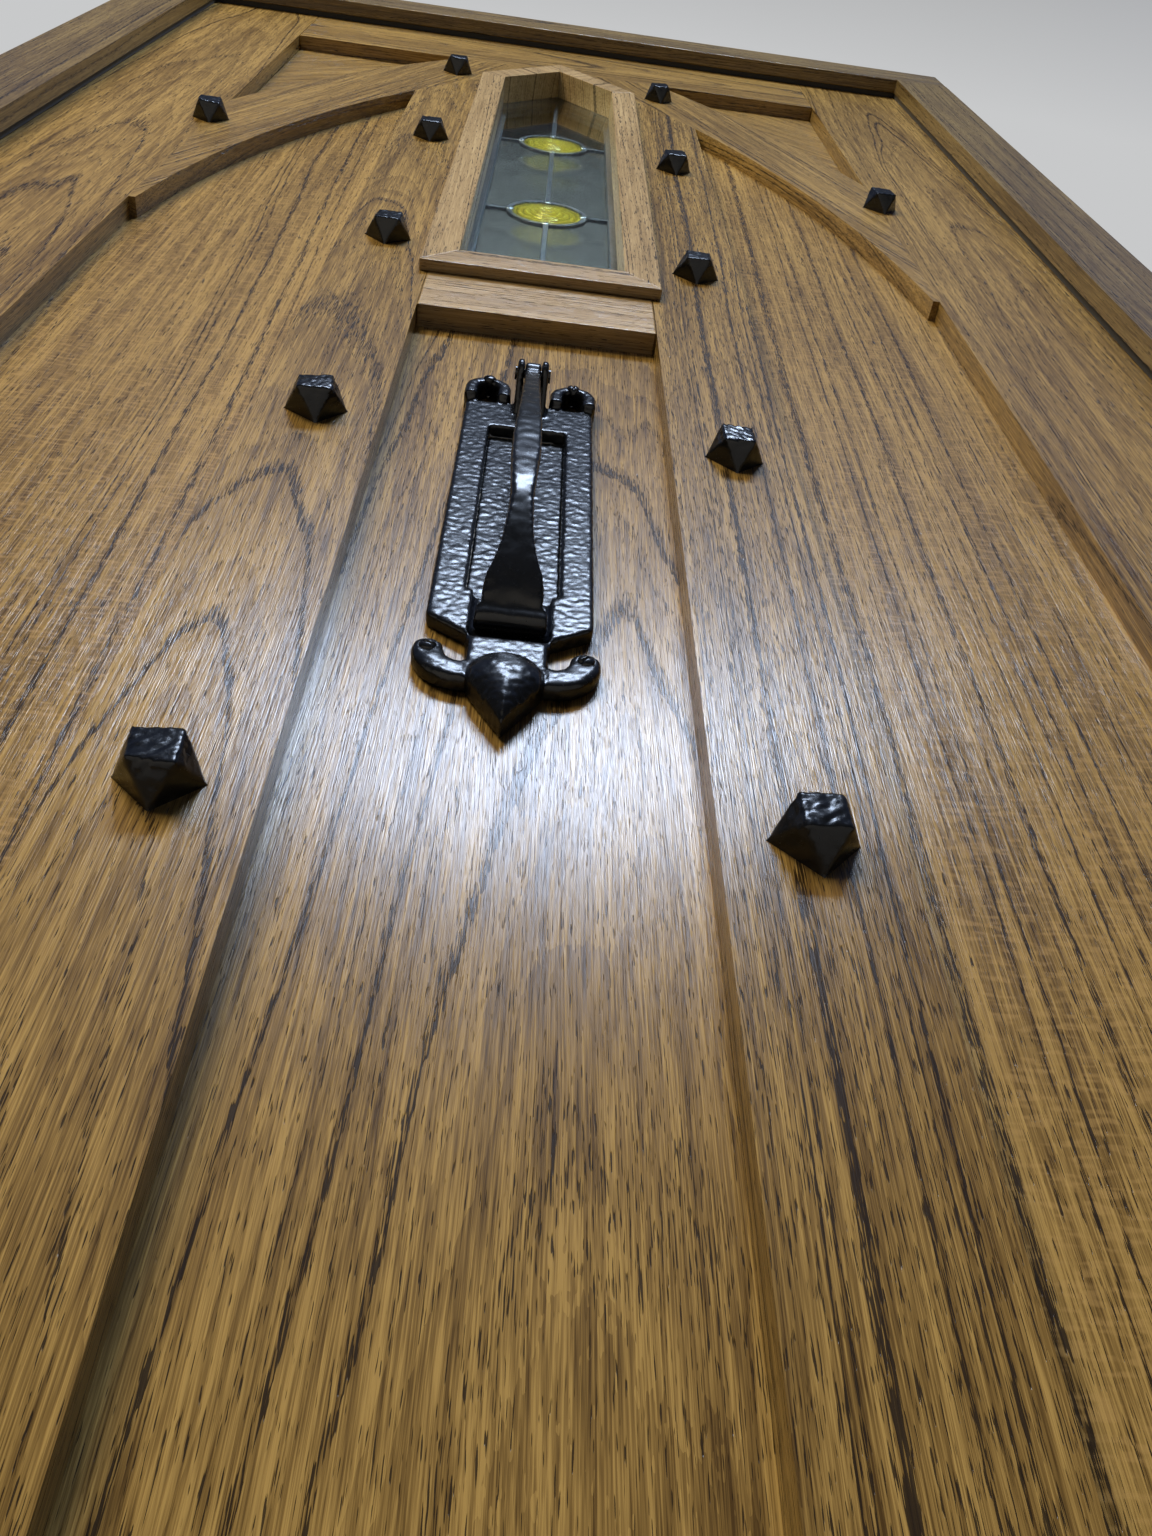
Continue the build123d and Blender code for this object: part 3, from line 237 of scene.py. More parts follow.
def pores_in(tree, grown, band, open_pores, shift):
    """Dashes of open pores, crowded in the band."""
    dashes = stretched_noise(tree, grown, PORE_WIDE, PORE_LONG, shift, detail=1.0)
    begins, full = PORE_CUT
    return add(
        tree, "ShaderNodeMapRange",
        {"From Min": begins - open_pores, "From Max": full - open_pores, "interpolation_type": "SMOOTHSTEP"},
        {"Value": layered(tree, PORE_GROUND, (dashes.outputs[0], 1.0), (band, BAND_PULL))},
    ).outputs[0]


print("about", round(100 / RING_WIDE), "rings to 10 cm of oak")


# %% [markdown]
# The stain makes the wood golden in summer wood and brown in spring wood, and nearly black
# in the open pores. Rays, where the saw met them flat, show as short pale bars across the
# grain. The lacquer is a satin coat that sinks into each pore, so a highlight on the board
# is broken up by the grain. It is laid as a coat over the rougher, duller wood.

# %% Stained and lacquered oak
OAK_LIGHT = "#AE9053"
OAK_MID = "#816737"
OAK_DARK = "#4E3A1B"
OAK_PORE = "#1C1309"
OAK_RAY = "#B8975E"
TONE_MIDDLE = 0.41  # place of plain wood between light and dark
SEASON_TINT = 0.24
BAND_TINT = 0.30
STREAK_TINTS = {"wide": 0.6, "broad": 1.0, "fine": 1.5, "cloud": 0.6}
PORE_STAIN = 0.89
GRAIN_DEEP = 0.0003  # metres


def stained_oak(name, turn=0.0, heart=0.0, depth=60.0, taper=0.03, wander=9.0, shift=0.0,
                light=OAK_LIGHT, mid=OAK_MID, dark=OAK_DARK, fleck=0.0, open_pores=0.0, figure=1.0):
    """Oak whose grain leans by turn from upright; figure says how strongly its patterns show."""
    material, tree = new_material(name)
    grown, radius = place_in_log(tree, turn, heart, depth, taper, wander, shift)
    season, band = spring_wood(tree, grown, radius, shift)
    pore = pores_in(tree, grown, band, open_pores, shift)
    streaks = {
        size: stretched_noise(tree, grown, wide, long, shift + place, rough=rough).outputs[0]
        for size, (wide, long, place, rough) in STREAKS.items()
    }
    coats = [(season, SEASON_TINT * figure)]
    coats += [(streaks[size], tint * figure) for size, tint in STREAK_TINTS.items()]
    # Each of these patterns lies round a half, so half their weights comes off the ground
    ground = TONE_MIDDLE - sum(weight for pattern, weight in coats) / 2
    tone = layered(tree, ground, (band, BAND_TINT * figure), *coats)
    ramp = add(tree, "ShaderNodeValToRGB", links={"Fac": tone})
    stops = ramp.color_ramp.elements
    stops[0].position, stops[1].position = 0.12, 0.88
    stops[0].color, stops[1].color = colour(light), colour(dark)
    stops.new(0.5).color = colour(mid)
    body = ramp.outputs["Color"]
    if fleck:
        rays = stretched_noise(tree, grown, FLECK_WIDE, FLECK_HIGH, shift, detail=1.0)
        bars = add(
            tree, "ShaderNodeMapRange",
            {"From Min": 0.45, "From Max": 0.7, "To Max": fleck, "interpolation_type": "SMOOTHSTEP"},
            {"Value": rays.outputs[0]},
        )
        body = add(
            tree, "ShaderNodeMix", {"data_type": "RGBA", 7: colour(OAK_RAY)}, {0: bars.outputs[0], 6: body}
        ).outputs[2]
    stained = add(
        tree, "ShaderNodeMix", {"data_type": "RGBA", 7: colour(OAK_PORE)},
        {0: layered(tree, 0.0, (pore, PORE_STAIN)), 6: body},
    )
    sheen = add(tree, "ShaderNodeMapRange", {"To Min": 0.36, "To Max": 0.6}, {"Value": pore})
    height = layered(tree, 0.0, (pore, -1.0), (streaks["fine"], -0.9), (streaks["broad"], -0.5))
    relief = add(tree, "ShaderNodeBump", {"Strength": 0.6, "Distance": GRAIN_DEEP}, {"Height": height})
    finish_with(tree, add(
        tree,
        "ShaderNodeBsdfPrincipled",
        {"IOR": 1.5, "Specular IOR Level": 0.12, "Coat Weight": 0.9, "Coat Roughness": 0.23, "Coat IOR": 1.5},
        {"Base Color": stained.outputs[2], "Roughness": sheen.outputs[0], "Normal": relief.outputs[0],
         "Coat Normal": relief.outputs[0]},
    ))
    return material


# %% [markdown]
# Every board is chosen as a joiner would lay it out: the stiles and muntins upright, the
# rails level, the braces along their chord. The arches of a plain-sawn board show where
# its heart lies close behind the face, so a small depth gives tall arches, and a heart
# far to one side gives the straight lines of a rift-sawn board. The frame is coloured darker
# than the leaf, and the thin beads and the short rail are of paler, plainer wood.

# %% The boards of the leaf and of the frame
BRACE_CHORD = (235.0, 662.0)  # mm across and up, from the foot of the arch to its crown
BRACE_LEAN = degrees(atan2(*BRACE_CHORD))
SPANDREL_LEAN = 2.4 * BRACE_LEAN
SLOPE_LEAN = 39.4
FRAME_OAK = dict(light="#8C784A", mid="#685531", dark="#3E3018")
PALE_OAK = dict(light="#CBB285", mid="#A0875D", dark="#665236", figure=0.6)
boards = {
    "jamb_left": dict(heart=-900, depth=200, taper=0.01, shift=113, **FRAME_OAK),
    "jamb_right": dict(heart=700, depth=120, taper=0.015, shift=541, **FRAME_OAK),
    "head": dict(turn=-90, heart=-2110, depth=45, taper=0.03, shift=77, **FRAME_OAK),
    "sill": dict(turn=-90, heart=-20, depth=90, taper=0.02, shift=311, **FRAME_OAK),
    "stile_left": dict(heart=-352, depth=42, taper=0.035, shift=205, wander=16),
    "stile_right": dict(heart=372, depth=30, taper=-0.04, shift=433, wander=18),
    "muntin_left": dict(heart=-118, depth=38, taper=0.045, shift=655, wander=14),
    "muntin_right": dict(heart=190, depth=60, taper=0.012, shift=861, wander=8, open_pores=0.05),
    "top_rail": dict(turn=-90, heart=-2000, depth=34, taper=0.04, shift=929, wander=15),
    "mid_rail": dict(turn=-90, heart=-1040, depth=60, taper=0.02, shift=1033, wander=6, **PALE_OAK),
    "bottom_rail": dict(turn=-90, heart=-140, depth=40, taper=0.03, shift=1151),
    "brace_left": dict(turn=-BRACE_LEAN, heart=-620, depth=60, taper=0.03, shift=1277),
    "brace_right": dict(turn=BRACE_LEAN, heart=640, depth=60, taper=0.03, shift=1361),
    "panel_left": dict(heart=-330, depth=160, taper=0.02, shift=1459, fleck=0.45),
    "panel_centre": dict(heart=42, depth=26, taper=0.045, shift=1571, wander=17),
    "panel_right": dict(heart=420, depth=140, taper=0.02, shift=1667, fleck=0.35),
    "spandrel_left": dict(turn=-SPANDREL_LEAN, heart=-500, depth=120, taper=0.02, shift=1777),
    "spandrel_right": dict(turn=SPANDREL_LEAN, heart=500, depth=120, taper=0.02, shift=1889),
    "bead_left": dict(heart=-400, depth=100, shift=1931, **PALE_OAK),
    "bead_right": dict(heart=-200, depth=100, shift=2063, **PALE_OAK),
    "bead_sill": dict(turn=-90, heart=-900, depth=60, shift=2179, **PALE_OAK),
    "bead_slope_left": dict(turn=SLOPE_LEAN, heart=-400, depth=100, shift=2293, **PALE_OAK),
    "bead_slope_right": dict(turn=-SLOPE_LEAN, heart=-400, depth=100, shift=2381, **PALE_OAK),
    "rear_beads": dict(heart=-400, depth=100, shift=2477),
}
for board, cut in boards.items():
    dress(board, stained_oak(f"stained_oak_{board}", **cut))
print(len(boards), "oak boards")

# %% [markdown]
# The ironmongery is grey cast iron, hammered in the pattern and enamelled black. Under
# gloss paint iron reads as a dielectric: almost no colour of its own, and many small,
# hard highlights, because each hammer mark and each grain of the mould's sand tips the
# light another way. The large dents are modelled further down; these are the fine ones.

# %% Black iron
MARK_WIDE = 5.0  # mm, from one hammer mark to the next
SAND_WIDE = 1.6  # mm, grains of the mould as the paint leaves them
SAND_SHARE = 0.12
MARK_DEEP = 0.0008  # metres


def black_iron(name, marks_deep=0.22, mark_wide=MARK_WIDE, gleam=0.5):
    """Iron under gloss black; gleam is how much its paint reflects."""
    material, tree = new_material(name)
    where = add(tree, "ShaderNodeTexCoord")
    marks = add(
        tree, "ShaderNodeTexNoise", {"Scale": MM / mark_wide, "Detail": 2.0, "Roughness": 0.45},
        {"Vector": where.outputs["Object"]},
    )
    sand = add(
        tree, "ShaderNodeTexNoise", {"Scale": MM / SAND_WIDE, "Detail": 2.0},
        {"Vector": where.outputs["Object"]},
    )
    height = layered(tree, 0.0, (marks.outputs[0], 1.0), (sand.outputs[0], SAND_SHARE))
    relief = add(tree, "ShaderNodeBump", {"Strength": marks_deep, "Distance": MARK_DEEP}, {"Height": height})
    shade = add(tree, "ShaderNodeMapRange", {"To Min": 0.19, "To Max": 0.31}, {"Value": sand.outputs[0]})
    tint = add(tree, "ShaderNodeValToRGB", links={"Fac": marks.outputs[0]})
    tint.color_ramp.elements[0].color = colour("#060709")
    tint.color_ramp.elements[1].color = colour("#14161B")
    finish_with(tree, add(
        tree,
        "ShaderNodeBsdfPrincipled",
        {"IOR": 1.5, "Specular IOR Level": gleam},
        {"Base Color": tint.outputs["Color"], "Roughness": shade.outputs[0], "Normal": relief.outputs[0]},
    ))
    return material


hammered_iron = black_iron("hammered_black_iron")
forged_iron = black_iron("forged_black_iron", marks_deep=0.06, mark_wide=9.0)
stud_iron = black_iron("stud_black_iron", marks_deep=0.35, gleam=0.42)
hammered = ("letter_plate", "letter_flap", "door_studs")
forged = ("knocker", "plate_screws", "plate_pins", "knob_outside", "knob_inside", "knob_roses")
for name in hammered:
    dress(name, hammered_iron)
for name in forged:
    dress(name, forged_iron)
print("black iron on", len(hammered) + len(forged), "solids")

# %% [markdown]
# The lock, hinges and fixings are satin stainless steel: bright, but drawn into fine
# lines by the abrasive belt, so a highlight is stretched across those lines. The belt
# runs up the hinges and along the bolts, so there is one steel for each way.

# %% Satin steel
BRUSH_WIDE = 0.4  # mm between brush lines, coarser than real so that they show
BRUSH_LONG = 1 / 0.03  # times as long as wide


def satin_steel(name, along):
    """Steel whose brush lines run along the axis of that number."""
    material, tree = new_material(name)
    where = add(tree, "ShaderNodeTexCoord")
    close = [MM / BRUSH_WIDE] * 3
    close[along] /= BRUSH_LONG
    drawn = add(tree, "ShaderNodeMapping", {"Scale": close}, {"Vector": where.outputs["Object"]})
    brush = add(tree, "ShaderNodeTexNoise", {"Scale": 1.0, "Detail": 2.0}, {"Vector": drawn.outputs[0]})
    shade = add(tree, "ShaderNodeMapRange", {"To Min": 0.24, "To Max": 0.42}, {"Value": brush.outputs[0]})
    tone = add(tree, "ShaderNodeValToRGB", links={"Fac": brush.outputs[0]})
    tone.color_ramp.elements[0].color = colour("#8F9092")
    tone.color_ramp.elements[1].color = colour("#B9BABC")
    relief = add(tree, "ShaderNodeBump", {"Strength": 0.25, "Distance": 0.0001}, {"Height": brush.outputs[0]})
    finish_with(tree, add(
        tree,
        "ShaderNodeBsdfPrincipled",
        {"Metallic": 1.0},
        {"Base Color": tone.outputs["Color"], "Roughness": shade.outputs[0], "Normal": relief.outputs[0]},
    ))
    return material


steel_upright = satin_steel("satin_steel_upright", along=2)
steel_level = satin_steel("satin_steel_level", along=0)
for name in nodes:
    if name.startswith("hinge_") or name in ("strike_plate", "lock_case", "frame_screws", "leaf_screws"):
        dress(name, steel_upright)
for name in ("latch_bolt", "dead_bolt", "spindle", "lock_cylinder", "thumb_turn", "flap_spring"):
    dress(name, steel_level)
print("satin steel on the lock, the hinges and the fixings")

# %% [markdown]
# The window is a sealed unit: clear float glass outside and inside, and between them a
# leaded light of clear glass and two spun roundels in yellow. Float glass is almost
# nothing but reflection. The leaded glass has the slow ripple of drawn sheet, so what is
# behind it swims a little. Spun glass is streaky in itself: each of its rings is paler on
# the crest and darker in the trough. A number on every point of the mesh says which.

# %% Glass
RIPPLE_WIDE = 26.0  # mm between the waves of drawn sheet
RIPPLE_DEEP = 0.002  # metres


def window_glass(name, tint, ripple, ripple_wide=RIPPLE_WIDE, clear=1.0, trough=None):
    """Glass with a ripple; clear is the share of light that passes, trough the darker tint of a ring."""
    material, tree = new_material(name)
    where = add(tree, "ShaderNodeTexCoord")
    waves = add(
        tree, "ShaderNodeMapping", {"Scale": (MM / ripple_wide, MM / ripple_wide, MM / (ripple_wide * 3))},
        {"Vector": where.outputs["Object"]},
    )
    swim = add(tree, "ShaderNodeTexNoise", {"Scale": 1.0, "Detail": 1.0}, {"Vector": waves.outputs[0]})
    relief = add(
        tree, "ShaderNodeBump", {"Strength": ripple, "Distance": RIPPLE_DEEP}, {"Height": swim.outputs[0]}
    )
    glass = add(
        tree,
        "ShaderNodeBsdfPrincipled",
        {"Base Color": colour(tint), "Roughness": 0.0, "IOR": 1.5, "Transmission Weight": clear},
        {"Normal": relief.outputs[0]},
    )
    if trough:
        thickness = add(tree, "ShaderNodeAttribute", {"attribute_name": "thickness"})
        depth = add(
            tree, "ShaderNodeMix", {"data_type": "RGBA", 6: colour(trough), 7: colour(tint)},
            {0: thickness.outputs["Fac"]},
        )
        tree.links.new(depth.outputs[2], glass.inputs["Base Color"])
    # To a shadow ray the pane is simply clear, so that the lamps reach what lies behind it
    ray = add(tree, "ShaderNodeLightPath")
    gap = add(tree, "ShaderNodeBsdfTransparent", {"Color": colour(tint)})
    finish_with(tree, add(
        tree, "ShaderNodeMixShader",
        links={0: ray.outputs["Is Shadow Ray"], 1: glass.outputs[0], 2: gap.outputs[0]},
    ))
    return material


float_glass = window_glass("float_glass", "#F4FAF8", 0.02)
drawn_glass = window_glass("drawn_sheet_glass", "#D6DFE3", 0.5)
yellow_glass = window_glass(
    "spun_yellow_glass", "#EAE25A", 0.3, ripple_wide=9.0, clear=0.65, trough="#A39A1C"
)
for name, material in (
    ("outer_pane", float_glass), ("inner_pane", float_glass), ("clear_quarries", drawn_glass),
    ("roundel_lower", yellow_glass), ("roundel_upper", yellow_glass),
):
    dress(name, material)
print("three kinds of glass")


# %% [markdown]
# Lead came is soft and grey. Polished with a brush it has a dull shine, brighter where the
# brush has rubbed it and darker where its skin has grown. The spacer bars of the unit are
# folded aluminium strip. Both are a metal with a cloudy surface, and differ in colour, in
# roughness and in the size of the cloud.

# %% Lead and spacer strip
def dull_metal(name, low, high, rough, grain_wide):
    """A soft metal, cloudy between two greys."""
    material, tree = new_material(name)
    where = add(tree, "ShaderNodeTexCoord")
    grain = add(
        tree, "ShaderNodeTexNoise", {"Scale": MM / grain_wide, "Detail": 4.0},
        {"Vector": where.outputs["Object"]},
    )
    tone = add(tree, "ShaderNodeValToRGB", links={"Fac": grain.outputs[0]})
    stops = tone.color_ramp.elements
    stops[0].position, stops[1].position = 0.3, 0.7
    stops[0].color, stops[1].color = colour(low), colour(high)
    shade = add(
        tree, "ShaderNodeMapRange", {"To Min": rough - 0.1, "To Max": rough + 0.1},
        {"Value": grain.outputs[0]},
    )
    relief = add(tree, "ShaderNodeBump", {"Strength": 0.3, "Distance": 0.0004}, {"Height": grain.outputs[0]})
    finish_with(tree, add(
        tree,
        "ShaderNodeBsdfPrincipled",
        {"Metallic": 1.0},
        {"Base Color": tone.outputs["Color"], "Roughness": shade.outputs[0], "Normal": relief.outputs[0]},
    ))
    return material


dress("lead_cames", dull_metal("brushed_lead", "#44474A", "#7E8184", 0.36, 3.0))
spacer_strip = dull_metal("mill_aluminium", "#7F8284", "#A6A9AB", 0.45, 1.5)
for name in ("front_spacer", "rear_spacer"):
    dress(name, spacer_strip)
print("lead and spacer strip")

# %% [markdown]
# The seals are extruded black rubber. Rubber is matt, and a little grey bloom clouds it,
# with a soft sheen where the light grazes it.

# %% Rubber of the seals
BLOOM_WIDE = 4.0  # mm
rubber, tree = new_material("black_epdm_rubber")
where = add(tree, "ShaderNodeTexCoord")
bloom = add(
    tree, "ShaderNodeTexNoise", {"Scale": MM / BLOOM_WIDE, "Detail": 3.0}, {"Vector": where.outputs["Object"]}
)
tone = add(tree, "ShaderNodeValToRGB", links={"Fac": bloom.outputs[0]})
tone.color_ramp.elements[0].color = colour("#141414")
tone.color_ramp.elements[1].color = colour("#242423")
skin = add(tree, "ShaderNodeBump", {"Strength": 0.2, "Distance": 0.0003}, {"Height": bloom.outputs[0]})
finish_with(tree, add(
    tree,
    "ShaderNodeBsdfPrincipled",
    {"Roughness": 0.7, "IOR": 1.5, "Sheen Weight": 0.2},
    {"Base Color": tone.outputs["Color"], "Normal": skin.outputs[0]},
))
dress("weather_seals", rubber)
undressed = [n for n, o in nodes.items() if not o.data.materials or not o.data.materials[0]]
print("undressed solids:", undressed)


# %% [markdown]
# Some pieces are worked point by point, with sizes in metres, as those of the solids are.
# A few helpers serve them all: rubbing draws each point towards its neighbours, as a file
# and cloth do; a skin of faces over rings of points gives any turned shape; and the last
# one makes the worked shape a piece of the scene.

# %% Helpers for worked shapes
def rub(work, points, rounds):
    """Draws the points towards their neighbours, so that edges run round."""
    for turn in range(rounds):
        bmesh.ops.smooth_vert(
            work, verts=points, factor=0.5, use_axis_x=True, use_axis_y=True, use_axis_z=True
        )


def skin_over(work, rings):
    """Faces from each ring of points to the next."""
    for low, high in zip(rings, rings[1:]):
        for k in range(len(low)):
            work.faces.new((low[k - 1], low[k], high[k], high[k - 1]))


def close_up(work):
    """Joins points that meet, and turns all faces outwards."""
    bmesh.ops.remove_doubles(work, verts=work.verts, dist=0.00001)
    bmesh.ops.recalc_face_normals(work, faces=work.faces)


def shade_smooth(work):
    """Lets the light run over the faces as over one skin."""
    for face in work.faces:
        face.smooth = True


def made(name, work, material):
    """The worked shape as a piece of the scene."""
    mesh = bpy.data.meshes.new(name)
    work.to_mesh(mesh)
    work.free()
    mesh.materials.append(material)
    piece = bpy.data.objects.new(name, mesh)
    bpy.context.scene.collection.objects.link(piece)
    print(name, len(mesh.polygons), "faces")
    return piece


# %% [markdown]
# Cast iron has no sharp edges: the sand of the mould rounds them, and the pattern-maker
# hammers the broad faces so that they look forged. The solids give the true outline. A
# copy of each is rebuilt from cubes about a millimetre wide (a voxel remesh), smoothed
# until its edges run round, and then dented by moving its points in and out.

# %% Cast pieces from the solids
def dents(point, wide):
    """Height from -1 to 0 of a hammered face: uneven hollows with soft ridges between."""
    slow = noise.noise(point / wide)
    quick = noise.noise(point / wide * 2.3 + Vector((9, 4, 7)))
    return max(-1.0, min(0.0, 0.9 * abs(slow) + 0.5 * quick - 0.6))


def cast_piece(node, voxel, rounds, deep, wide, material, shape=None, swell=0.0, facing=0.5):
    """A remeshed, rounded and dented copy of a CAD solid, in place of it.

    Only points whose normal has a y below facing are dented; -1 looks at the street.
    """
    source = nodes[node]
    shell = bpy.data.objects.new(f"shell of {node}", source.data.copy())
    bpy.context.scene.collection.objects.link(shell)
    remesh = shell.modifiers.new("cubes", "REMESH")
    remesh.mode = "VOXEL"
    remesh.voxel_size = voxel
    evaluated = shell.evaluated_get(bpy.context.evaluated_depsgraph_get())
    work = bmesh.new()
    work.from_mesh(evaluated.to_mesh())
    evaluated.to_mesh_clear()
    bpy.data.objects.remove(shell)
    rub(work, work.verts, rounds)
    if shape:
        shape(work)
    work.normal_update()
    moves = [(v, v.normal * (swell + deep * dents(v.co, wide))) for v in work.verts if v.normal.y < facing]
    for vertex, move in moves:
        vertex.co += move
    shade_smooth(work)
    piece = made(f"cast_{node}", work, material)
    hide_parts(node)
    return piece


# %% [markdown]
# The pattern of the plate was carved: its lobes and hoods are rounder than any edge that
# casting leaves, and its heart is a low dome. So the ends of the plate are rubbed further,
# and the points of the heart are set on an ellipsoid inside the heart's outline.

# %% Letter plate
PLATE_FRONT = 0.007
PLATE_FOOT = 0.766  # below this lie the neck, the lobes and the heart
PLATE_HEAD = 1.0045  # above this lie the hoods and ears
FOOT_HALF = 0.0165  # half the width that stays as it is, between the lobes
HEAD_HALF = 0.0105
HEART_Z = 0.736
HEART_RADIUS = 0.0155
HEART_POINT = 0.030
HEART_SWELL = 0.0075
CURL_ROUNDS = 7
CURL_SWELL = 0.0008  # what the rubbing took off the curls
CAST_VOXEL = 0.0011
CAST_ROUNDS = 3
DENT_WIDE = 0.0040
DENT_DEEP = 0.0005


def round_plate(work):
    """Softens the lobes and hoods of the plate, and domes its heart."""
    curls = [
        v for v in work.verts
        if v.co.z < PLATE_FOOT and abs(v.co.x) > FOOT_HALF or v.co.z > PLATE_HEAD and abs(v.co.x) > HEAD_HALF
    ]
    rub(work, curls, CURL_ROUNDS)
    work.normal_update()
    grown = [(v, v.normal * CURL_SWELL) for v in curls if v.normal.y < 0.5]
    for vertex, move in grown:
        vertex.co += move
    # From the round shoulders the outline runs straight to the point, at this angle
    leans = pi / 2 - asin(HEART_RADIUS / HEART_POINT)
    for vertex in work.verts:
        x, y, z = vertex.co
        if z > HEART_Z + HEART_RADIUS or y > PLATE_FRONT + 0.002:
            continue
        angle = abs(atan2(x, HEART_Z - z))
        edge = HEART_RADIUS / cos(angle - leans) if angle < leans else HEART_RADIUS
        share = sqrt(x * x + (z - HEART_Z) ** 2) / edge
        if share < 1:
            vertex.co.y = PLATE_FRONT - HEART_SWELL * sqrt(1 - share**2)


plate = cast_piece(
    "letter_plate", CAST_VOXEL, CAST_ROUNDS, DENT_DEEP, DENT_WIDE, hammered_iron,
    shape=round_plate, swell=0.0002,
)
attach(plate, "leaf")


# %% [markdown]
# The flap fills its slot with a hair's clearance. Rubbing its edges round takes a little
# off its width, which is given back here, and its back stays plain where nobody sees it.

# %% Letter flap
FLAP_HAIR = 0.0008


def fill_slot(work):
    """Widens the flap by what smoothing took off its edges."""
    for vertex in work.verts:
        vertex.co.x += FLAP_HAIR if vertex.co.x > 0 else -FLAP_HAIR


flap = cast_piece(
    "letter_flap", CAST_VOXEL, CAST_ROUNDS, DENT_DEEP, DENT_WIDE, hammered_iron,
    shape=fill_slot, facing=-0.6,
)
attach(flap, "flap")

# %% [markdown]
# The knocker's arm was drawn out under the hammer, so its faces are smoother than the
# plate's, with wide shallow marks. It is rubbed more, then brought back to its widths,
# and its crest is pushed forward a little, where the real arm bends sharply.

# %% Knocker
# Height on the door in metres, and width of the arm there in millimetres
ARM_WIDTHS = (
    (0.7, 31), (0.778, 31), (0.7795, 26.5), (0.787, 26.3), (0.793, 23.5), (0.799, 19), (0.806, 15.5),
    (0.814, 13), (0.824, 11.4), (0.834, 10.8), (0.85, 12.2), (0.868, 13.8), (0.885, 14.2), (0.91, 13),
    (0.94, 10.6), (0.965, 9.2), (0.99, 8.8), (1.1, 8.8),
)
ARM_SLICE = 0.002
ARM_CREST = 0.840  # height at which the arm bows out most sharply
CREST_LONG = 0.026
CREST_PROUD = 0.0025


def gauge_arm(work):
    """Brings the arm to its widths again, which smoothing has made too thin."""
    slices = {}
    for vertex in work.verts:
        key = round(vertex.co.z / ARM_SLICE)
        slices[key] = max(slices.get(key, 0.0), abs(vertex.co.x))
    for vertex in work.verts:
        z = vertex.co.z
        for (low, narrow), (high, broad) in zip(ARM_WIDTHS, ARM_WIDTHS[1:]):
            if low <= z < high:
                want = (narrow + (broad - narrow) * (z - low) / (high - low)) / 2 / MM
                vertex.co.x *= want / slices[round(z / ARM_SLICE)]
                break
        vertex.co.y -= CREST_PROUD * exp(-(((z - ARM_CREST) / CREST_LONG) ** 2))


arm = cast_piece("knocker", 0.0010, 7, 0.0004, 0.012, forged_iron, shape=gauge_arm, swell=0.0001)
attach(arm, "knocker")

# %% [markdown]
# The four screws of the plate have low round heads with a slot, painted with the plate. A
# shallow dome is turned from a short profile, and the slot is pressed in by moving points.
# No two slots point the same way, since a screw stops where it is tight.

# %% Screw heads of the letter plate
HEAD_RADIUS = 0.0037
HEAD_HIGH = 0.0017
HEAD_SIDES = 28
HEAD_STEPS = 12
SLOT_HALF = 0.0005
SLOT_DEEP = 0.0009
SEAT_DEEP = 0.003
SCREW_PLACES = (
    (-0.0242, 0.0026, 1.02385), (0.0242, 0.0026, 1.02385), (-0.0325, 0.0066, 0.754), (0.0325, 0.0066, 0.754)
)
screws = bmesh.new()
for number, (x, seat, z) in enumerate(SCREW_PLACES):
    cut = 0.6 + number * 1.1  # angle of the slot
    rings = []
    for step in range(HEAD_STEPS + 1):
        reach = HEAD_RADIUS * (1 - step / HEAD_STEPS)
        rise = HEAD_HIGH * sqrt(max(0.0, 1 - (reach / HEAD_RADIUS) ** 2))
        ring = []
        for k in range(HEAD_SIDES):
            angle = 2 * pi * k / HEAD_SIDES
            slot = SLOT_DEEP if abs(reach * sin(angle - cut)) < SLOT_HALF else 0.0
            y = seat - max(rise - slot, 0)
            ring.append(screws.verts.new((x + reach * cos(angle), y, z + reach * sin(angle))))
        rings.append(ring)
    rings.insert(0, [screws.verts.new(v.co + Vector((0, SEAT_DEEP, 0))) for v in rings[0]])
    skin_over(screws, rings)
close_up(screws)
shade_smooth(screws)
screw_heads = made("plate_screw_heads", screws, forged_iron)
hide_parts("plate_screws")
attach(screw_heads, "leaf")


# %% [markdown]
# Each stud is a forged nail with a faceted head: a square face turned over a square foot,
# so that eight triangles join them. No two are alike. The head is built as the hull of
# eight corners, each a little out of place, then cut fine enough to take hammer marks.

# %% The head of one stud
STUD_ACROSS = 0.0325
STUD_TOP = 0.0175
STUD_HIGH = 0.016
STUD_TILT = 0.35  # radians that a stud is turned at most
STUD_SLIP = 0.0016  # how far a corner is out of place
STUD_CUTS = 13
TOP_DENT = 0.0008
SIDE_DENT = 0.0002
STUD_DENT_WIDE = 0.0042
NAIL_RADIUS = 0.0025
NAIL_LONG = 0.025
SKIN = 1e-6  # what lies within this of the wood is on it
STUD_SEED = 14
noise.seed_set(STUD_SEED)  # vectors of noise start from the clock unless a seed is set


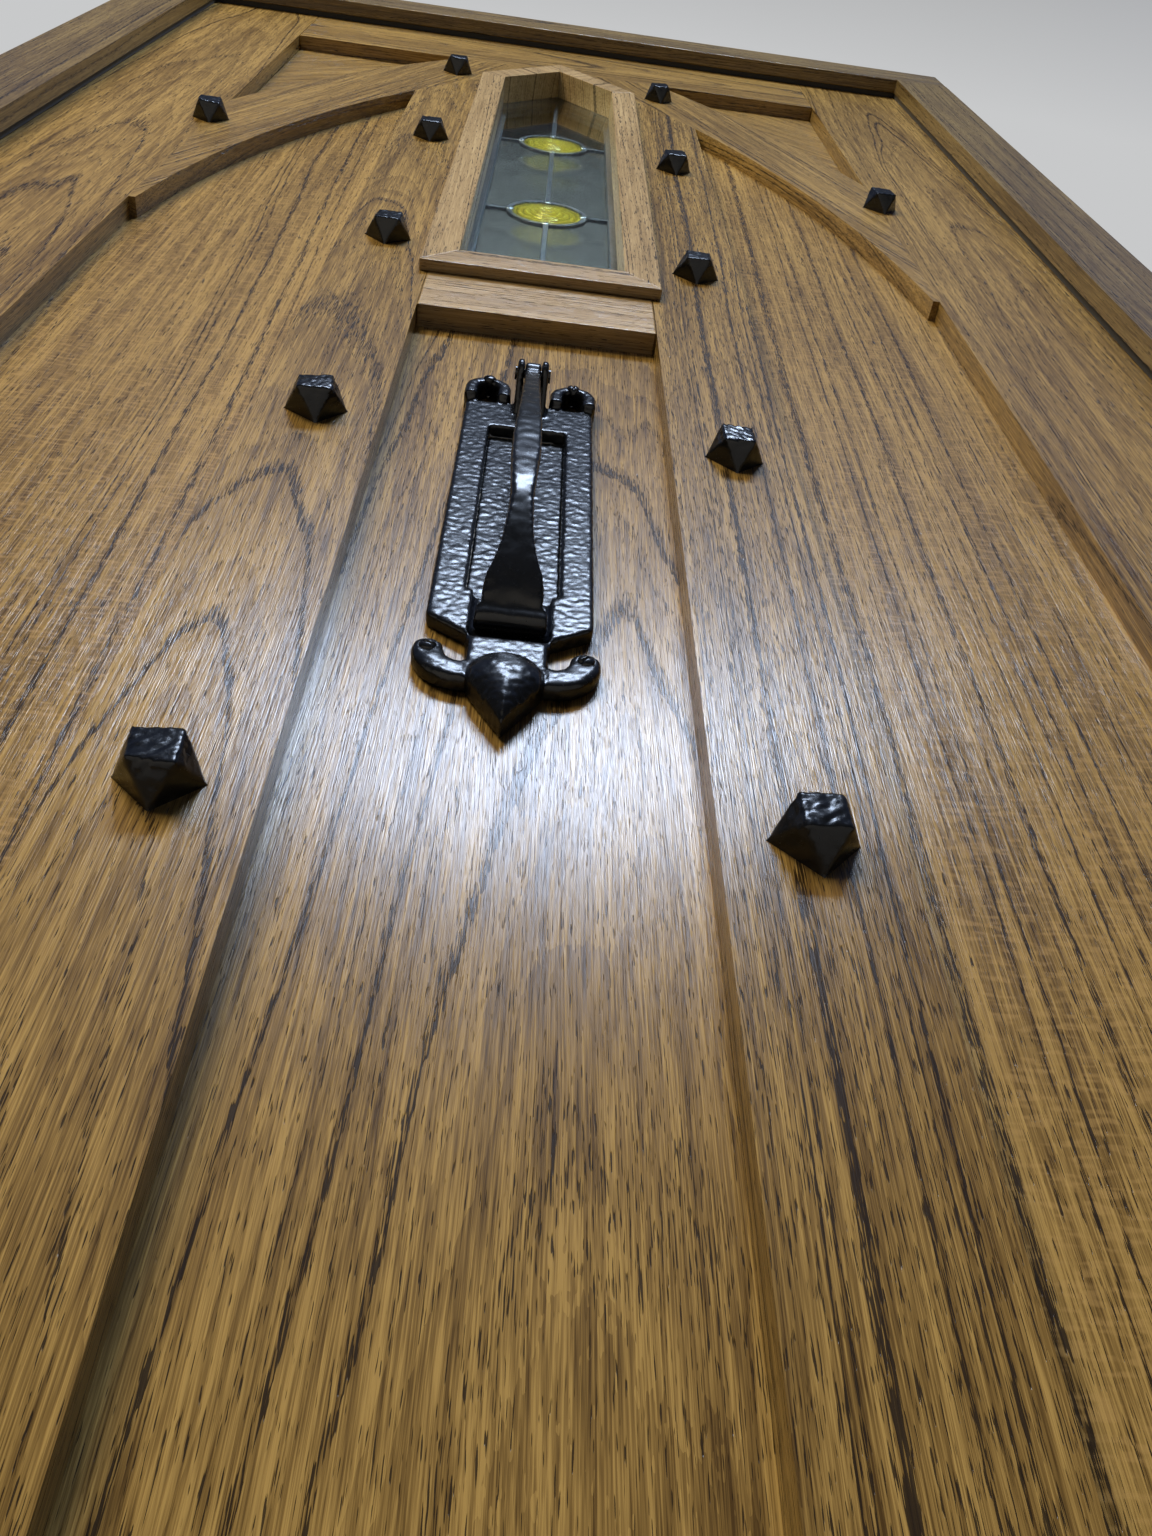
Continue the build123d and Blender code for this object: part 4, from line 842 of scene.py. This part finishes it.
def stud(number, x, z):
    """The worked shape of a stud at that place."""
    head = bmesh.new()
    seed = Vector((number * 7.31, number * 3.17, 0.5))
    tilt = noise.noise(seed) * STUD_TILT
    for count in range(4):
        for reach, y, turn in ((STUD_ACROSS / 2, 0.0, 0.0), (STUD_TOP / sqrt(2), -STUD_HIGH, pi / 4)):
            angle = count * pi / 2 + turn + tilt
            slip = noise.noise_vector(seed + Vector((count, y * 900, 0))) * STUD_SLIP
            away = slip if y else Vector((slip.x, 0, slip.z))
            head.verts.new(Vector((reach * cos(angle), y, reach * sin(angle))) + away)
    bmesh.ops.convex_hull(head, input=head.verts)
    under = [f for f in head.faces if all(abs(v.co.y) < SKIN for v in f.verts)]
    bmesh.ops.delete(head, geom=under, context="FACES_ONLY")
    bmesh.ops.subdivide_edges(head, edges=head.edges, cuts=STUD_CUTS, use_grid_fill=True)
    rub(head, [v for v in head.verts if v.co.y < -SKIN], 2)
    head.normal_update()
    for vertex in head.verts:
        if vertex.co.y < -0.001:
            struck = TOP_DENT if vertex.co.y < -0.75 * STUD_HIGH else SIDE_DENT
            vertex.co += vertex.normal * struck * dents(vertex.co + seed, STUD_DENT_WIDE)
    shade_smooth(head)
    bmesh.ops.create_cone(
        head, segments=10, radius1=NAIL_RADIUS, radius2=NAIL_RADIUS, depth=NAIL_LONG,
        matrix=Matrix.Translation((0, NAIL_LONG / 2, 0)) @ Matrix.Rotation(pi / 2, 4, "X"),
    )
    bmesh.ops.translate(head, verts=head.verts, vec=(x, 0, z))
    return head


# %% [markdown]
# Six pairs of studs run up the muntins, evenly spaced, and one pair sits on the stiles
# beside the arch. All of them make one piece, as they are one set of ironmongery.

# %% Fourteen studs in their places
STUD_X = 0.1108
STUD_FIRST = 0.348
STUD_SPACING = 0.3004
STUD_ROWS = 6
STILE_STUD = (0.2974, 1.512)
stud_levels = [STUD_FIRST + STUD_SPACING * row for row in range(STUD_ROWS)]
stud_places = [(side * STUD_X, level) for level in stud_levels for side in (-1, 1)]
stud_places += [(side * STILE_STUD[0], STILE_STUD[1]) for side in (-1, 1)]
heads = bmesh.new()
for number, (x, z) in enumerate(stud_places):
    head = stud(number, x, z)
    stamp = bpy.data.meshes.new("stamp")
    head.to_mesh(stamp)
    head.free()
    heads.from_mesh(stamp)
    bpy.data.meshes.remove(stamp)
studs = made("forged_studs", heads, stud_iron)
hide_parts("door_studs")
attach(studs, "leaf")
print(len(stud_places), "studs")

# %% [markdown]
# A roundel is spun from a gather of yellow glass on the end of a rod, which leaves a boss
# in the middle and rings round it. Turning a profile round an axis is just what the
# glass-blower does, so that is how it is made here. The front is rippled and a little out
# of round, the back is flat, and each point keeps how near it is to the crest of a ring.

# %% Spun roundels
ROUNDEL_RADIUS = 0.032
ROUNDEL_FRONT = 0.0303
ROUNDEL_BACK = 0.0337
ROUNDEL_LEVELS = {"roundel_lower": 1.45876, "roundel_upper": 1.70376}
RING_STEP = 0.0058
RING_SWELL = 0.0013
BOSS_SWELL = 0.0017
WOBBLE = 0.0006
SPUN_STEPS = 44
SPUN_SIDES = 72


def crest(reach):
    """1 on the crest of a ring, 0 in the trough."""
    return (1 + cos(2 * pi * reach / RING_STEP)) / 2


def spun(name, level):
    """A disc turned about an axis along y, in place of a roundel of CAD."""
    disc = bmesh.new()
    thickness = disc.verts.layers.float.new("thickness")
    turns = [-2 * pi * k / SPUN_SIDES for k in range(SPUN_SIDES)]
    wobbles = [WOBBLE * noise.noise(Vector((cos(turn), sin(turn), level * 9))) for turn in turns]
    rings = []
    for back in (False, True):
        for step in range(SPUN_STEPS + 1):
            share = 1 - step / SPUN_STEPS if back else step / SPUN_STEPS
            fall = share**2
            swell = RING_SWELL * crest(share * ROUNDEL_RADIUS) * (1 - fall) + BOSS_SWELL * (1 - fall) ** 3
            y = ROUNDEL_BACK if back else ROUNDEL_FRONT - swell
            ring = []
            for turn, wobble in zip(turns, wobbles):
                reach = share * ROUNDEL_RADIUS + wobble * (1 - fall)
                point = disc.verts.new((reach * cos(turn), y, level + reach * sin(turn)))
                point[thickness] = crest(share * ROUNDEL_RADIUS) * (1 - 0.5 * fall)
                ring.append(point)
            rings.append(ring)
    skin_over(disc, rings)
    close_up(disc)
    shade_smooth(disc)
    piece = made(f"spun_{name}", disc, yellow_glass)
    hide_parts(name)
    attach(piece, "leaf")


for name, level in ROUNDEL_LEVELS.items():
    spun(name, level)

# %% [markdown]
# Where two cames meet, the glazier melts a drop of solder over the joint. It sets as a low,
# bright dome, a little wider than the came. A turned profile again, squashed out of round.

# %% Drops of solder on the joints
CAME_FRONT = 0.029
SOLDER_HIGH = 0.0012
SOLDER_SUNK = 0.0003  # how far its foot lies below the face of the came
SOLDER_RADIUS = 0.0042
SOLDER_LUMP = 0.25  # share of the radius by which it is out of round
SOLDER_SIDES = 24
SOLDER_STEPS = 8
places = []
for level in ROUNDEL_LEVELS.values():
    places += [(0, level + ROUNDEL_RADIUS), (0, level - ROUNDEL_RADIUS)]
    places += [(ROUNDEL_RADIUS, level), (-ROUNDEL_RADIUS, level)]
drops = bmesh.new()
for number, (x, z) in enumerate(places):
    rings = []
    for step in range(SOLDER_STEPS + 1):
        share = 1 - step / SOLDER_STEPS
        rise = SOLDER_HIGH * sqrt(max(0.0, 1 - share**2)) - SOLDER_SUNK
        ring = []
        for k in range(SOLDER_SIDES):
            angle = 2 * pi * k / SOLDER_SIDES
            lump = 1 + SOLDER_LUMP * noise.noise(Vector((cos(angle), sin(angle), number * 3.1)))
            reach = SOLDER_RADIUS * share * lump
            ring.append(drops.verts.new((x + reach * cos(angle), CAME_FRONT - rise, z + reach * sin(angle))))
        rings.append(ring)
    skin_over(drops, rings)
    drops.faces.new(rings[0])
close_up(drops)
shade_smooth(drops)
solder = made("solder_drops", drops, dull_metal("tinned_solder", "#A9ACAF", "#D2D5D7", 0.25, 2.0))
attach(solder, "leaf")
print(len(places), "drops of solder")

# %% [markdown]
# No arris on a real door is a knife edge: each is eased with abrasive paper so that the
# lacquer holds. The eased edge matters to the eye, because it is where a board catches
# the light. A Bevel modifier does it on the solids as they are; a Weld comes first,
# because solids arrive with every face loose from the next. Came is rolled with a round
# crown, which is a wider bevel in more steps.

# %% Eased arrises
EASED = {"bead": 0.0009, "rear": 0.0009}
EASED_MOST = 0.0012
CROWN = 0.0016
WELD_REACH = 0.00002


def weld(piece):
    """Joins the loose faces of a solid."""
    piece.modifiers.new("weld", "WELD").merge_threshold = WELD_REACH


def ease(piece, width, segments):
    """Rounds the edges of a solid by that width."""
    bevel = piece.modifiers.new("eased arris", "BEVEL")
    bevel.width = width
    bevel.segments = segments
    bevel.limit_method = "ANGLE"
    bevel.angle_limit = radians(40)
    bevel.harden_normals = True


for board in boards:
    weld(nodes[board])
    if not board.startswith("panel"):  # the edges of a panel lie in grooves
        ease(nodes[board], EASED.get(board.split("_")[0], EASED_MOST), segments=2)
weld(nodes["lead_cames"])
ease(nodes["lead_cames"], CROWN, segments=3)
print("arrises eased")

# %% [markdown]
# The picture is taken from the height of a knee, close to the door and looking steeply
# up it, with a wide lens, so that the door narrows towards its head. The place, the three
# turns and the lens were found by matching edges and corners of the door.

# %% Camera
PICTURE_HIGH = 1536
FOCAL_PIXELS = 1218.21
SENSOR = 36.0
EYE = (-0.003505, -0.275243, 0.340377)
YAW, PITCH, ROLL = 0.1140566, 0.8815062, 0.0115300
camera_data = bpy.data.cameras.new("camera")
camera_data.sensor_width = SENSOR
camera_data.lens = SENSOR * FOCAL_PIXELS / PICTURE_HIGH
camera_data.clip_start = 0.01
camera = bpy.data.objects.new("camera", camera_data)
bpy.context.scene.collection.objects.link(camera)
ahead = Vector((sin(YAW) * cos(PITCH), cos(YAW) * cos(PITCH), sin(PITCH)))
level_right = Vector((cos(YAW), -sin(YAW), 0))
level_up = level_right.cross(ahead)
right = level_right * cos(ROLL) + level_up * sin(ROLL)
up = level_up * cos(ROLL) - level_right * sin(ROLL)
camera.matrix_world = Matrix.Translation(EYE) @ Matrix((right, up, -ahead)).transposed().to_4x4()
bpy.context.scene.camera = camera
print("lens", round(camera_data.lens, 2), "mm")

# %% [markdown]
# The door stands on a plain pale floor. The floor is pale to the eye and in reflections,
# but gives hardly any light back, so that the undersides of the rails and braces stay
# dark and the relief of the door can be read.

# %% Floor
FLOOR_HALF = 6.0
floor_mesh = bpy.data.meshes.new("floor")
floor_mesh.from_pydata(
    [(FLOOR_HALF * x, FLOOR_HALF * y, 0) for x, y in ((-1, -1), (1, -1), (1, 1), (-1, 1))], [], [(0, 1, 2, 3)]
)
floor = bpy.data.objects.new("floor", floor_mesh)
bpy.context.scene.collection.objects.link(floor)
floor_paint, tree = new_material("pale_floor")
ray = add(tree, "ShaderNodeLightPath")
paint = add(
    tree, "ShaderNodeMix", {"data_type": "RGBA", 6: colour("#A9A7A2"), 7: colour("#1E1C19")},
    {0: ray.outputs["Is Diffuse Ray"]},
)
finish_with(tree, add(tree, "ShaderNodeBsdfPrincipled", {"Roughness": 0.7}, {"Base Color": paint.outputs[2]}))
floor_mesh.materials.append(floor_paint)
print("floor", 2 * FLOOR_HALF, "m wide")


# %% [markdown]
# Three soft lamps light the door. A cool one high in front lies as a long highlight in the
# lacquer. A broad warm one from the left gives most of the light, and a third lights the
# back. The last two aren't mirrored, so that the only highlight is the first lamp's.

# %% Lamps
def lamp(name, place, target, size, watts, tint, mirrored=True):
    """A rectangular lamp at a place, turned to its target."""
    data = bpy.data.lights.new(name, "AREA")
    data.shape = "RECTANGLE"
    data.size, data.size_y = size
    data.energy = watts
    data.color = colour(tint)[:3]
    piece = bpy.data.objects.new(name, data)
    piece.location = place
    piece.rotation_euler = (Vector(target) - Vector(place)).to_track_quat("-Z", "Y").to_euler()
    piece.visible_glossy = mirrored
    piece.visible_camera = False
    bpy.context.scene.collection.objects.link(piece)


lamp("ceiling lamp", (0.12, -1.58, 2.62), (0.04, 0, 0.69), (0.9, 0.34), 43, "#CBDDF8")
lamp("light from the left", (-1.3, -2.3, 2.3), (-0.1, 0, 0.9), (1.7, 1.2), 93, "#FFECC8", mirrored=False)
lamp("light behind the door", (-1.2, 2.4, 2.5), (0, 0.05, 1.0), (1.2, 1.2), 50, "#FFF4E4", mirrored=False)
print("three lamps")

# %% [markdown]
# The room is a plain backdrop. Behind the door it is pale. In front, where the iron and
# the lacquer mirror it, it is dark at the floor and overhead, with a cool grey band
# between them, which gives black iron its blue-grey gleam.

# %% Room
world = bpy.data.worlds.new("studio")
bpy.context.scene.world = world
world.use_nodes = True
tree = world.node_tree
tree.nodes.clear()
sky = add(tree, "ShaderNodeTexCoord")
axes = add(tree, "ShaderNodeSeparateXYZ", links={0: sky.outputs["Generated"]})
front = add(tree, "ShaderNodeValToRGB", links={"Fac": axes.outputs["Z"]})
stops = front.color_ramp.elements
stops[0].position, stops[1].position = 0.42, 0.96
stops[0].color, stops[1].color = colour("#36373A"), colour("#2C2F36")
stops.new(0.64).color = colour("#4A5878")
stops.new(0.86).color = colour("#4A5878")
behind = add(tree, "ShaderNodeMapRange", {"From Min": -0.15, "From Max": 0.15}, {"Value": axes.outputs["Y"]})
room = add(
    tree, "ShaderNodeMix", {"data_type": "RGBA", 7: colour("#C8C9CA")},
    {0: behind.outputs[0], 6: front.outputs["Color"]},
)
light = add(tree, "ShaderNodeBackground", {"Strength": 1.0}, {"Color": room.outputs[2]})
tree.links.new(light.outputs[0], tree.nodes.new("ShaderNodeOutputWorld").inputs["Surface"])
bpy.context.scene.view_settings.view_transform = "Standard"
print("room behind the door, and in front of it")
